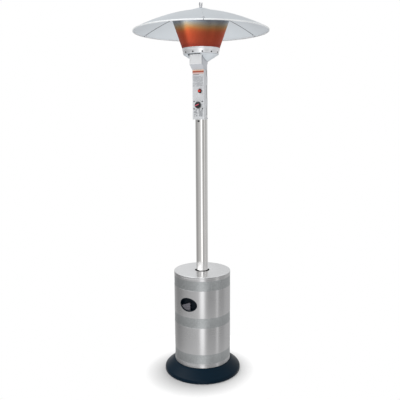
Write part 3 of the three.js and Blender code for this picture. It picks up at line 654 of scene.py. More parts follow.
def heat_tinted():
    """Steel screen coloured by heat: red where it is hottest, then gold, then blue-grey at the cool top, with
    painted reflection streaks round it, painted shade towards the top and a painted glow.
    """
    result = bpy.data.materials.new("heat_tinted_steel")
    tree = Tree(result)
    shader = tree.tree.nodes["Principled BSDF"]
    low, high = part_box("emitter_screen")
    where = tree.place()
    axes = tree.axes(where)
    azimuth = tree.azimuth(axes)
    streak = tree.ramp(tree.around(azimuth), turn_stops(REFLECTION_STREAKS))
    height = tree.spread(axes["Z"], low.z, high.z, 0.0, 1.0)
    off_streak = tree.minus(streak, 0.5)
    wobble = tree.times(tree.minus(tree.noise(where, 16, 2.0), 0.5), 0.05)
    shifted = tree.minus(tree.plus(height, wobble), tree.times(off_streak, 0.10))
    round_side = tree.math("COSINE", tree.minus(azimuth, math.radians(HOT_SIDE)))
    shifted = tree.minus(shifted, tree.spread(round_side, 1.0, 0.0, 0.02, 0.13))
    tint = tree.ramp(shifted, [(place, srgb(*colour)) for place, colour in HEAT_COLOURS])
    strength = tree.spread(height, 0.0, 0.8, 1.0, 2.4)
    # Painted shade: the screen is drawn darker towards its top, under the reflector.
    dim = tree.spread(height, 0.3, 0.8, 0.86, 0.70)
    shade = tree.times(dim, tree.plus(1.0, tree.times(off_streak, strength)))
    shaded = tree.add("ShaderNodeMix", data_type="RGBA", blend_type="MULTIPLY")
    shaded.inputs["Factor"].default_value = 1.0
    tree.link(tint, shaded.inputs[6])
    tree.link(shade, shaded.inputs[7])
    tree.link(shaded.outputs[2], shader.inputs["Base Color"])
    # The screen also glows with this painted colour, streaks and shade included: painted light.
    tree.link(shaded.outputs[2], shader.inputs["Emission Color"])
    shader.inputs["Emission Strength"].default_value = 0.30
    tree.link(tree.spread(tree.noise(where, 700, 2.0), 0.3, 0.7, 0.4, 0.6), shader.inputs["Roughness"])
    shader.inputs["Metallic"].default_value = 0.0
    shader.inputs["Specular IOR Level"].default_value = 0.15
    return result


heat_steel = heat_tinted()


# ---- Base and feet ----

def build_base():
    low, high = extent("base_cover")
    radius = high.x
    bottom = low.z
    top = high.z
    deck = 188
    hole = 30
    sheet = 2
    rim_top = 24
    outline = rounded([
        (radius, bottom, 1.0), (radius, rim_top, 9), (deck, top, 16), (hole, top, 0.8),
        (hole, top - sheet, 0.8), (deck - 1, top - sheet, 14), (radius - sheet, rim_top - 2, 7),
        (radius - sheet, bottom + 1.6, 0.4), (radius - 5, bottom + 1.6, 0.4), (radius - 5, bottom, 0.4),
    ], 6)
    cover = revolve("base_cover_pressed", outline, 192)
    drills = [spun(moved(prism("drill", circle(4.4, 24), top - 10, top + 5), y=-LEG_CIRCLE), azimuth)
        for azimuth in THIRDS]
    done(cut(cover, *drills), "base_cover", enamel)
    for i in range(4):
        name = f"foot_{i + 1}"
        low, high = extent(name)
        outline = rounded([(0, 0.6, 0), (9, 0.6, 0.3), (9, 0, 0.3), (14.5, 0, 1.5), (16, high.z, 0.8),
            (0, high.z, 0)], 3, closed=False)
        foot = revolve(name + "_moulded", outline, 40)
        moved(foot, x=(low.x + high.x) / 2, y=(low.y + high.y) / 2)
        done(foot, name, rubber)


# ---- Legs, flange and post ----

VALVE_WINDOW = (1690, 2000)      # heights of the opening at the front of the post
CLAMP_BOLT_HEIGHT = 1652


def build_stand():
    low, high = extent("post_flange")
    bottom = low.z
    plate = 6
    socket = 41.4
    flange = revolve("post_flange_turned", rounded([(15, bottom, 1), (high.x, bottom, 1.2),
        (high.x, bottom + plate, 1.2), (socket + 5, bottom + plate, 2), (socket, bottom + plate + 5, 2),
        (socket, high.z, 1.2), (38.4, high.z, 0.6), (38.4, bottom + plate, 0.2), (15, bottom + plate, 1)],
        4), 96)
    done(flange, "post_flange", enamel)
    for i, azimuth in enumerate(THIRDS):
        name = f"leg_{i + 1}"
        low, high = extent(name)
        radius = 8
        centre = high.z - radius
        bend_start = 560
        inner = 44
        path = [(0, -LEG_CIRCLE, low.z), (0, -LEG_CIRCLE, low.z + 1.2), (0, -LEG_CIRCLE, 300),
                (0, -LEG_CIRCLE, bend_start)]
        steps = 18
        for k in range(1, steps + 1):
            t = k / steps
            y = (1 - t) ** 2 * LEG_CIRCLE + 2 * t * (1 - t) * LEG_CIRCLE + t * t * LEG_CIRCLE / 2
            z = (1 - t) ** 2 * bend_start + 2 * t * (1 - t) * centre + t * t * centre
            path.append((0, -y, z))
        path += [(0, -inner - 1.2, centre), (0, -inner, centre)]
        last = len(path) - 1
        bar = tube("bar", path, lambda k: radius - 1.2 if k in (0, last) else radius, 28)
        welds = []
        for side in (-1, 1):
            bead = [(side * (radius - 2.6), -inner - 2 - 2 * k, high.z - 1.4) for k in range(12)]
            welds.append(tube("weld", bead, lambda k: 1.7 + 0.35 * (k % 2), 10))
        leg = merged(name + "_bent", bar, *welds)
        spun(leg, azimuth)
        done(leg, name, enamel, sharp=50)

    low, high = extent("post")
    radius = high.x
    wall = 2
    tube_body = revolve("post_drawn", rounded([(radius - wall, low.z, 0.4), (radius, low.z, 0.8),
        (radius, high.z, 0.8), (radius - wall, high.z, 0.4)]), 160)
    window = prism("window", rectangle(-60, 60, -60, 5), *VALVE_WINDOW)
    hole = to_front(prism("hole", circle(3.3, 24), 0, 60), z=CLAMP_BOLT_HEIGHT)
    done(cut(tube_body, window, hole), "post", polished, sharp=40)

    low, high = extent("post_bolt")
    front = -low.y
    seat = radius + 0.3
    head = revolve("head", rounded([(0, seat, 0), (6, seat, 0.5), (6, front - 0.2, 2.2), (0, front, 0)], 4,
        False), 40)
    socket_hole = prism("socket", circle(2.9, 6), front - 4, front + 2)
    head = cut(head, socket_hole)
    shank = prism("shank", circle(3, 24), -high.y, seat + 0.5)
    bolt = to_front(merged("post_bolt_cap_head", head, shank), z=(low.z + high.z) / 2)
    done(bolt, "post_bolt", black)


# ---- Gas cylinder, valve, regulator and hose ----

OUTLET_HEIGHT = 510      # the cylinder valve's outlet and the regulator


def ellipse(radius, height, centre, start, stop, steps):
    turns = [math.radians(start + (stop - start) * i / steps) for i in range(steps + 1)]
    return [(max(0.0, radius * math.cos(turn)), centre + height * math.sin(turn)) for turn in turns]


def build_cylinder():
    radius = extent("gas_cylinder")[1].x
    top = extent("gas_cylinder")[1].z
    floor = extent("gas_cylinder")[0].z
    dome = 80
    low_centre = 180
    high_centre = 400
    neck = 17
    neck_angle = math.degrees(math.acos(neck / radius))
    body = ellipse(radius - 1, dome, low_centre, -90, 0, 14)
    body += [(radius - 1, 284), (radius, 286), (radius, 296), (radius - 1, 298)]
    body += ellipse(radius - 1, dome, high_centre, 0, neck_angle, 14)
    body += [(neck + 3, 481), (neck, 485), (neck, 489), (neck - 1, 490), (12.5, 490), (12, 489), (12, 470),
        (0, 470)]
    shell = revolve("shell", body, 128)
    foot_inner = 104
    foot_outer = 107
    foot_ring = revolve("foot_ring", rounded([(foot_inner, floor + 1, 1), (foot_outer - 1, floor, 1),
        (foot_outer + 1.4, floor + 2, 1), (foot_outer, floor + 6, 2), (foot_outer, 123, 0.5),
        (foot_outer + 2, 126, 1), (foot_inner - 1, 126, 0.5), (foot_inner, 122, 1)], 3), 112)
    guard_inner = 99
    guard_outer = 102
    guard = revolve("guard", rounded([(guard_inner, 458, 0.5), (guard_outer, 458, 0.5),
        (guard_outer, top - 7, 2), (guard_outer + 2.5, top - 5, 1.5), (guard_outer + 2.5, top, 2),
        (guard_inner, top, 2), (guard_inner - 0.5, top - 5, 1.5)], 3), 112)
    mouth = spun(prism("mouth", rectangle(-70, 70, 471, 600, 18, 6), 0, 160), 90, "X")
    hand_hole = spun(prism("hand_hole", rectangle(-45, 45, 500, 532, 15, 6), -160, 0), 90, "X")
    guard = cut(guard, mouth, hand_hole)
    done(merged("gas_cylinder_welded", shell, foot_ring, guard), "gas_cylinder", tank_paint)


def build_valve():
    low, high = extent("cylinder_valve")
    neck = 490.3
    threaded = [(0, low.z)] + ridges(low.z, neck - 1, 1.6, (10.9, 0.2), (11.7, 1.0))
    threaded += [(10.9, threaded[-1][1] + 0.6), (10.9, neck + 0.3), (0, neck + 0.3)]
    thread = revolve("thread", threaded, 32)
    hexagon = prism("hexagon", circle(15.0, 6), neck, neck + 12, 1.0, 2)
    body = revolve("body", rounded([(0, neck + 11, 0), (13, neck + 11, 0.5), (13, 522, 3), (9, 524, 0.5),
        (9, 528, 1), (0, 528, 0)], 3, False), 48)
    outlet_end = -low.y
    outlet = [(0, 0), (8.5, 0), (8.5, 14), (10, 15)]
    outlet += ridges(16, outlet_end - 3, 1.6, (10, 0), (9.3, 0.8))
    outlet += [(9.3, outlet_end - 1.5), (8.3, outlet_end), (4, outlet_end), (4, outlet_end - 4),
        (0, outlet_end - 4)]
    nose = to_front(revolve("nose", outlet, 40), z=OUTLET_HEIGHT)
    spindle = revolve("spindle", rounded([(0, 527, 0), (4, 527, 0.2), (4, high.z, 0.6), (0, high.z, 0)], 2,
        False), 24)
    done(merged("cylinder_valve_turned", thread, hexagon, body, nose, spindle), "cylinder_valve", brass)

    low, high = extent("valve_handwheel")
    radius = high.x
    count = 96
    outline = []
    for i in range(count):
        angle = 2 * math.pi * i / count
        reach = radius - 2 + 2 * math.cos(6 * angle)
        outline.append((reach * math.cos(angle), reach * math.sin(angle)))
    wheel = prism("wheel", outline, low.z, high.z, 2.2, 4, 40)
    dish = revolve("dish", rounded([(9, high.z + 1, 0), (9, high.z - 2.5, 1), (19, high.z - 2.5, 2),
        (20.5, high.z + 1, 0)], 3), 64)
    pockets = [spun(moved(prism("pocket", circle(4, 20), high.z - 7, high.z + 1), x=14), 60 * k + 30)
        for k in range(6)]
    bore = prism("bore", circle(4.3, 24), low.z - 1, 546.6)
    done(cut(wheel, dish, *pockets, bore), "valve_handwheel", black, "handwheel")


def build_regulator():
    low, high = extent("regulator")
    y = -86
    z = OUTLET_HEIGHT
    drum = revolve("drum", rounded([
        (0, -20, 0), (17, -20, 2), (20, -14, 3), (27, -4, 1), (28, -3.5, 0.6), (28, 1.5, 0.6), (27, 2, 0.8),
        (22, 9, 3), (10, 13, 2), (0, 13, 0),
    ], 3, False), 80)
    screws = []
    for k in range(6):
        screw = revolve("screw", rounded([(0, 1, 0), (2.4, 1, 0), (2.4, 3.4, 0.8), (0, 3.8, 0)], 3, False),
            20)
        screws.append((spun(moved(screw, x=24.4), 60 * k + 30), 1))
    nut = to_front(prism("nut", circle(17, 6), -47.6, -38, 1.4, 2))
    inlet = to_front(prism("inlet", circle(8, 32), -43, -18, 0.8))
    barb_profile = [(0, 11)]
    for k in range(3):
        step = 13 + 3.4 * k
        barb_profile += [(6.9, step), (5.2, step + 3.2)]
    barb_profile += [(5.2, high.z - z), (0, high.z - z)]
    barb = revolve("barb", barb_profile, 32)
    vent = moved(revolve("vent", rounded([(0, 6, 0), (5, 6, 0.5), (5, 12, 1.2), (0, 12, 0)], 3, False), 24),
        x=13, y=-8)
    regulator = merged("regulator_cast", drum, (nut, 2), inlet, (barb, 2), vent, *screws)
    done(moved(regulator, y=y, z=z), "regulator", [tank_paint, zinc, brass])

    low, high = extent("gas_hose")
    path = [(0, y, low.z), (0, y, low.z + 0.8), (0, y, z + 35)]
    steps = 40
    points = [Vector((0, y, z + 35)), Vector((0, y, z + 90)), Vector((0, 0, 590.3)), Vector((0, 0, 645.3))]
    for k in range(1, steps + 1):
        t = k / steps
        path.append((1 - t) ** 3 * points[0] + 3 * t * (1 - t) ** 2 * points[1]
            + 3 * t * t * (1 - t) * points[2] + t ** 3 * points[3])
    path += [(0, 0, 800 + 150 * k) for k in range(6)] + [(0, 0, high.z - 0.8), (0, 0, high.z)]
    hose = tube("hose", path, 4.7, 24)
    collars = []
    for x, y0, base in ((0, y, low.z + 1.5), (0, 0, high.z - 20)):
        ribs = [(0, base), (5.6, base), (6.2, base + 1)]
        for k in range(4):
            ribs += [(6.2, base + 3 + 3 * k), (5.7, base + 4 + 3 * k), (6.2, base + 5 + 3 * k)]
        ribs += [(6.2, base + 16), (5.6, base + 17), (0, base + 17)]
        collars.append((moved(revolve("collar", ribs, 28), x, y0), 1))
    done(merged("gas_hose_run", hose, *collars), "gas_hose", [rubber, zinc])


# ---- Sliding housing ----

BAND_HEIGHTS = ((104, 167), (346, 412), (592, 656))
BAND_DEPTH = 0.7
FRONT_HANDLE_TURN = -4           # degrees; the other handle is opposite


def housing_turn(side):
    return FRONT_HANDLE_TURN if side == "front" else FRONT_HANDLE_TURN + 180


def build_housing():
    low, high = extent("housing_shell")
    radius = high.x
    wall = 1.2
    outline = [(radius - wall, low.z + 0.5, 0.2), (radius - 0.4, low.z, 0.3), (radius, low.z + 0.8, 0.4),
        (radius, 93.5, 0.4), (radius - 0.7, 94.5, 0.4), (radius - 0.7, 95.5, 0.4), (radius, 96.5, 0.4)]
    for start, stop in BAND_HEIGHTS:
        outline += [(radius, start, 0.3), (radius - BAND_DEPTH, start + 0.6, 0.3),
            (radius - BAND_DEPTH, stop - 0.6, 0.3), (radius, stop, 0.3)]
    outline += [(radius, 668, 0.4), (radius - 0.8, 669.4, 0.5), (radius - 0.8, 670.6, 0.5),
        (radius, 672, 0.4), (radius, high.z, 0.5), (radius - wall, high.z, 0.3)]
    shell = revolve("housing_shell_rolled", rounded(outline, 3), 256)
    holes = []
    for side in ("front", "back"):
        low_handle, high_handle = extent("handle_" + side)
        half_height = (high_handle.z - low_handle.z) / 2 - 6
        oval = [(56 * math.cos(turn), half_height * math.sin(turn))
                for turn in (2 * math.pi * i / 64 for i in range(64))]
        hole = to_front(prism("hole", oval, 120, 220), z=(low_handle.z + high_handle.z) / 2)
        holes.append(spun(hole, housing_turn(side)))
    shell = cut(shell, *holes)
    done(shell, "housing_shell", [brushed, embossed], "housing", 40)
    for polygon in shell.data.polygons:
        height = polygon.center.z / MM
        outside = math.hypot(polygon.center.x, polygon.center.y) / MM > radius - wall + 0.2
        if outside and any(start < height < stop for start, stop in BAND_HEIGHTS):
            polygon.material_index = 1

    low, high = extent("housing_lid")
    hole = 47.5
    skirt = radius - wall - 0.3
    lid = revolve("housing_lid_spun", rounded([(hole, high.z - 4.5, 0.3), (hole, high.z, 2.4),
        (radius - 3.5, high.z, 1.5), (radius - 0.2, 681, 1.2), (radius - 0.2, 679.9, 0.3),
        (skirt, 679.5, 0.2), (skirt, low.z, 0.3), (skirt - wall, low.z, 0.3),
        (skirt - wall, high.z - wall, 2), (hole + wall, high.z - wall, 1.6),
        (hole + wall, high.z - 4.5, 0.3)], 5), 256)
    done(lid, "housing_lid", lid_steel, "housing", 40)


# A handle's raised rim: distance in from the outline, and height over the housing's surface.
HANDLE_RIM = ((0.0, 0.35), (0.25, 1.5), (0.9, 2.3), (1.9, 2.65), (3.0, 2.6), (4.2, 2.2), (5.3, 1.4),
    (6.1, 0.1), (6.7, -1.6), (7.2, -3.6))
GRIP_PITCH = 13.5
GRIP_SLOPE = 19
GRIP_EDGE = 15


def smooth(value, low, high):
    t = min(1.0, max(0.0, (value - low) / (high - low)))
    return t * t * (3 - 2 * t)


def grip_share(u, v):
    """1 on the ribbed finger plate of a handle, 0 in the pocket beside it."""
    slope = math.radians(24)
    above = (v - 17) * math.cos(slope) - (u - GRIP_EDGE) * math.sin(slope)
    across = v * math.cos(math.radians(GRIP_SLOPE)) - u * math.sin(math.radians(GRIP_SLOPE))
    scallop = 2.2 * math.cos(2 * math.pi * across / GRIP_PITCH)
    return smooth(-above, -0.6, 0.8) * smooth(GRIP_EDGE + scallop - u, -0.8, 0.8)


def handle_level(u, v, edge):
    """Height of the handle's face over the housing's surface; edge is the distance from its outline."""
    rim_end, rim_level = HANDLE_RIM[-1]
    if edge <= rim_end:
        for (d0, h0), (d1, h1) in zip(HANDLE_RIM, HANDLE_RIM[1:]):
            if edge <= d1:
                return h0 + (h1 - h0) * (edge - d0) / (d1 - d0)
    share = grip_share(u, v)
    across = v * math.cos(math.radians(GRIP_SLOPE)) - u * math.sin(math.radians(GRIP_SLOPE))
    rib = 1.3 * math.cos(2 * math.pi * across / GRIP_PITCH)
    plate = -4.2 + rib + 2.0 * smooth(u, -45, GRIP_EDGE)
    pocket = -16.5
    wall = smooth(edge, rim_end, 10.5)
    deep = rim_level + (pocket - rim_level) * wall
    shallow = rim_level + (plate - rim_level) * wall
    return deep + (shallow - deep) * share


def build_handles():
    radius = extent("housing_shell")[1].x
    for side in ("front", "back"):
        low, high = extent("handle_" + side)
        half_height = (high.z - low.z) / 2
        half_width = 62
        middle = (high.z + low.z) / 2
        steps = 200
        edges = [d for d, _ in HANDLE_RIM] + [HANDLE_RIM[-1][0] + 0.7 * k for k in range(1, 10)]
        depth = half_height - 0.01
        while edges[-1] < depth - 1.2:
            edges.append(edges[-1] + 1.1)
        points = []
        for back_skin in (False, True):
            for edge in edges:
                for i in range(steps):
                    turn = 2 * math.pi * i / steps
                    # An inner ring is a smaller oval that keeps its distance from the outline.
                    u = (half_width - edge) * math.cos(turn)
                    v = (half_height - edge) * math.sin(turn)
                    level = handle_level(u, v, edge)
                    if back_skin:
                        level = min(level - 1.5, 0.0 if edge > 6 else 0.25)
                    reach = radius + level
                    points.append((u, -math.sqrt(reach * reach - u * u), middle + v))
        rows = len(edges)
        faces = []
        for base in (0, rows * steps):
            for r in range(rows - 1):
                for i in range(steps):
                    j = (i + 1) % steps
                    faces.append([base + r * steps + i, base + r * steps + j, base + (r + 1) * steps + j,
                        base + (r + 1) * steps + i])
            # The last ring is a narrow slit along the middle, closed by bridging its two halves.
            ring = base + (rows - 1) * steps
            for i in range(steps // 2):
                a, b = ring + i, ring + (i + 1) % steps
                c, d = ring + (steps - i - 1) % steps, ring + (steps - i) % steps
                face = list(dict.fromkeys([a, b, c, d]))
                if len(face) > 2:
                    faces.append(face)
        for i in range(steps):
            j = (i + 1) % steps
            faces.append([i, j, rows * steps + j, rows * steps + i])
        handle = spun(piece(f"handle_{side}_moulded", points, faces), housing_turn(side))
        done(handle, f"handle_{side}", [navy, grip], "housing", 50)
        back = Matrix.Rotation(math.radians(-housing_turn(side)), 4, "Z")
        for polygon in handle.data.polygons:
            local = back @ polygon.center / MM
            v = local.z - middle
            inside = (local.x / (half_width - 8)) ** 2 + (v / (half_height - 8)) ** 2 < 1
            if inside and grip_share(local.x, v) > 0.75 and math.hypot(local.x, local.y) > radius - 9:
                polygon.material_index = 1


# ---- Control cover, head cover and screws ----

NOTCHES = ((1675, 1743), (1794, 1874), (1926, 2000))
KNOB_HEIGHT = 1751
IGNITER_HEIGHT = 1837
IGNITER_X = 12
SIDE_SCREW_HEIGHT = 1669
HEAD_FACE_BOTTOM = 1996          # the head cover's slope ends and its upright face begins here
SCREW_PLACES = ((-28.4, 22.2), (-28.4, -22.2), (28.4, 22.2), (28.4, -22.2))


def notch_tools(back, depth=12):
    return [prism("notch", rectangle(-100, 100, back - depth, back + 5), low, high, 1.5, 3)
            for low, high in NOTCHES]


def build_covers():
    low, high = extent("control_cover")
    wall = 1.2
    bend = 3.2
    outer = rounded([(low.x, high.y, 0), (low.x, low.y, bend), (high.x, low.y, bend), (high.x, high.y, 0)],
        6, closed=False)
    inner = rounded([(low.x + wall, high.y, 0), (low.x + wall, low.y + wall, bend - 1),
        (high.x - wall, low.y + wall, bend - 1), (high.x - wall, high.y, 0)], 6, closed=False)
    sheet = prism("control_cover_folded", outer + inner[::-1], low.z, high.z)
    tools = notch_tools(high.y)
    tools.append(to_front(prism("hole", circle(8, 40), 0, 80), z=KNOB_HEIGHT))
    tools.append(to_front(prism("hole", circle(11.3, 40), 0, 80), x=IGNITER_X, z=IGNITER_HEIGHT))
    tools += [to_front(prism("hole", circle(2.3, 20), 0, 80), x=x, z=KNOB_HEIGHT + dz) for x,
        dz in SCREW_PLACES]
    tools.append(moved(spun(prism("hole", circle(2.3, 20), 0, 80), 90, "Y"), z=SIDE_SCREW_HEIGHT))
    cut(sheet, *tools)
    soften(sheet, 0.35, 2, 50)
    bake(sheet)
    done(sheet, "control_cover", cover_sheet)

    low, high = extent("head_cover")
    shallow = -43
    bend = 3
    outline = rounded([(high.y, low.z, 0), (high.y, high.z, bend), (low.y, high.z, bend),
        (low.y, HEAD_FACE_BOTTOM, bend), (shallow, low.z, 0)], 5)
    head = prism("head_cover_folded", outline, low.x, high.x, 1.6, 3, 50)
    hollow = prism("hollow", [(200, low.z - 5), (200, high.z - wall), (low.y + wall, high.z - wall),
        (low.y + wall, HEAD_FACE_BOTTOM + wall / 2), (shallow + wall, low.z + wall),
        (shallow + wall, low.z - 5)], low.x + wall, high.x - wall)
    # The outline's x becomes Y, its y becomes Z and the height becomes X.
    swap = Matrix(((0, 0, 1, 0), (1, 0, 0, 0), (0, 1, 0, 0), (0, 0, 0, 1)))
    for part in (head, hollow):
        part.data.transform(swap)
    vee = prism("vee", [(-14, 0), (0, -14), (14, 0), (0, 14)], -low.y - 0.7, 100)
    tools = [hollow, prism("bore", circle(40.1, 48), 2013.7, 2080), to_front(vee, z=high.z)]
    cut(head, *tools, *notch_tools(high.y))
    soften(head, 0.3, 2, 50)
    bake(head)
    # Thin dark strips just behind the face's two folds are painted shade along the bends.
    fold = (low.y + 1.8, low.y + 6.4)
    fold_shades = []
    for x_low in (low.x - 0.02, high.x - 0.28):
        fold_shade = prism("fold_shade", rectangle(x_low, x_low + 0.3, *fold), HEAD_FACE_BOTTOM - 1, high.z - 3)
        fold_shades.append((fold_shade, 1))
    head = merged("head_cover_folded", head, *fold_shades)
    done(head, "head_cover", [plate_finish, seam_shade, shaded_plate])
    # The sloping underside and the sides take the darker copy of the plate: painted shade.
    for polygon in head.data.polygons:
        sloping = polygon.normal.z < -0.3 and polygon.center.z / MM < HEAD_FACE_BOTTOM + 2
        if polygon.material_index == 0 and (sloping or abs(polygon.normal.x) > 0.7):
            polygon.material_index = 2


def cross_screw(name, radius, seat, face, shank, back):
    """A pan-head screw with a cross recess, made along +Z."""
    head = revolve("head", rounded([(0, seat, 0), (radius, seat, 0.3), (radius, face - 0.4, 1.4),
        (0, face, 0)], 5, False), 36)
    slots = [spun(prism("slot", rectangle(-0.55, 0.55, -0.62 * radius, 0.62 * radius), face - 1.3, face + 1),
        turn) for turn in (0, 90)]
    head = cut(head, *slots)
    thread = [(0, back), (shank - 0.5, back)]
    thread += ridges(back, seat - 1.5, 1.2, (shank, 0.5), (shank - 0.4, 1.0))
    thread += [(shank - 0.4, seat + 0.4), (0, seat + 0.4)]
    return merged(name, head, revolve("thread", thread, 20))


def build_screws():
    for i, (x, dz) in enumerate(SCREW_PLACES):
        name = f"valve_screw_{i + 1}"
        low, high = extent(name)
        screw = cross_screw(name + "_pan_head", 4, -low.y - 2.5, -low.y, 2, -high.y)
        spun(screw, 17 + 31 * i)
        done(to_front(screw, x=x, z=KNOB_HEIGHT + dz), name, screw_steel)
    low, high = extent("cover_side_screw")
    screw = cross_screw("cover_side_screw_pan_head", 4, high.x - 2.7, high.x, 2, low.x)
    done(moved(spun(screw, 90, "Y"), z=(low.z + high.z) / 2), "cover_side_screw", zinc)


# ---- Knob and igniter ----

def build_controls():
    low, high = extent("control_knob")
    radius = high.x
    back = -high.y
    front = -low.y
    skirt = [(0, back, 0), (radius - 0.6, back, 0.4), (radius, back + 1.4, 0.6),
        (radius - 1.2, back + 5, 1.5), (radius - 4, back + 6.4, 1), (radius - 4.8, front - 4.4, 1),
        (0, front - 4, 0)]
    body = revolve("body", rounded(skirt, 5, False), 96)
    flutes = [spun(moved(prism("flute", circle(1.5, 16), back - 1, back + 9), x=radius + 0.6), 12 * k)
        for k in range(30)]
    body = cut(body, *flutes)
    bar = prism("bar", rectangle(-16.4, 16.4, -5.2, 5.2, 4.2, 6), back + 5, front - 0.4, 1.4, 3)
    pointer = prism("pointer", rectangle(-14.2, 14.2, -2.7, 2.7, 2.0, 5), front - 2, front, 0.3, 2)
    bore = revolve("bore", [(0, back - 1), (4.3, back - 1), (4.3, back + 10.3), (0, back + 10.3)], 24)
    body = cut(body, bore)
    knob = merged("control_knob_moulded", body, bar, (pointer, 1))
    spun(knob, 22)
    done(to_front(knob, z=KNOB_HEIGHT), "control_knob", [black, pink], "knob", 40)

    low, high = extent("igniter_body")
    seat = 43.3
    face = -low.y
    rim = (high.x - low.x) / 2
    bezel = revolve("bezel", rounded([(8.3, -high.y + 9, 0), (11, -high.y + 9, 0.5), (11, seat, 0.2),
        (rim, seat, 0.4), (rim, face - 1.2, 1.2), (rim - 1.5, face, 0.8), (8.3, face, 0.5)], 4), 72)
    cap = revolve("cap", rounded([(0, -high.y, 0), (11, -high.y, 1), (11, -high.y + 9.2, 0),
        (0, -high.y + 9.2, 0)], 3, False), 48)
    nicks = [spun(moved(prism("nick", circle(1.1, 12), face - 1.6, face + 1), x=rim), 60 * k)
        for k in range(6)]
    igniter = merged("igniter_body_threaded", cut(bezel, *nicks), cap)
    done(to_front(igniter, x=IGNITER_X, z=IGNITER_HEIGHT), "igniter_body", black)

    low, high = extent("igniter_button")
    back = -high.y
    front = -low.y
    button = revolve("igniter_button_moulded", rounded([
        (0, back, 0), (8, back, 0.4), (8, front - 0.6, 1.8), (5.5, front, 1.0), (4.5, front - 0.6, 1.0),
        (0, front - 0.9, 0),
    ], 5, False), 64)
    done(to_front(button, x=IGNITER_X, z=IGNITER_HEIGHT), "igniter_button", red, "igniter_button")


# ---- Burner head ----

AIR_HOLES = 12
AIR_HOLE_RADIUS = 5.0
AIR_HOLE_HEIGHT = 2068


def build_burner_cup():
    low, high = extent("burner_cup")
    floor = low.z
    top = high.z
    step = top - 10
    radius = high.x
    narrow = 110
    wall = 1.2
    cup = revolve("burner_cup_spun", rounded([(20, floor, 0.4), (narrow, floor, 4),
        (radius - 1.6, step - 1.5, 1.5), (radius, step + 0.5, 0.8), (radius, step + 2.5, 0.8),
        (radius - 0.8, step + 4, 0.8), (radius - 0.8, top - 3, 0.6), (radius, top - 2, 0.8),
        (radius, top, 0.6), (radius - wall, top, 0.4), (radius - 2, step + 2, 1),
        (radius - 2.2 - wall, step, 1), (narrow - wall, floor + wall, 3), (20, floor + wall, 0.3)], 4), 192)
    drills = []
    for i in range(AIR_HOLES):
        drill = prism("drill", circle(AIR_HOLE_RADIUS, 28), narrow - 12, narrow + 12)
        drills.append(spun(to_front(drill, z=AIR_HOLE_HEIGHT), 360 / AIR_HOLES * i))
    cut(cup, *drills)
    done(cup, "burner_cup", [collar_finish, soot_and_shade])
    # The cup's inner walls and floor take the soot material: soot, and painted shade in the cup's hollow.
    for polygon in cup.data.polygons:
        inwards = polygon.normal.x * polygon.center.x + polygon.normal.y * polygon.center.y
        away = math.hypot(polygon.center.x, polygon.center.y) / MM
        if inwards < 0 and 60 < away < 116.3 or polygon.normal.z > 0.5 and away < 106:
            polygon.material_index = 1

    low, high = extent("funnel")
    outer = 109
    inner = 38.7
    rise = 1.6
    ribs = [(inner, low.z), (inner + 3, low.z)]
    points = 24
    for i in range(points + 1):
        share = i / points
        height = low.z + (high.z - rise - low.z) * share
        ribs.append((inner + (outer - inner) * share, height + 0.25 * math.sin(6 * math.pi * share)))
    top = [(outer, high.z - 0.4), (outer - 0.6, high.z), (inner, low.z + rise)]
    funnel = revolve("funnel_spun", ribs[2:] + top + [(inner, low.z)], 160)
    notch = prism("notch", rectangle(-45.4, 45.4, -150, 8.6), 2000, 2057)
    done(cut(funnel, notch), "funnel", aluminium)


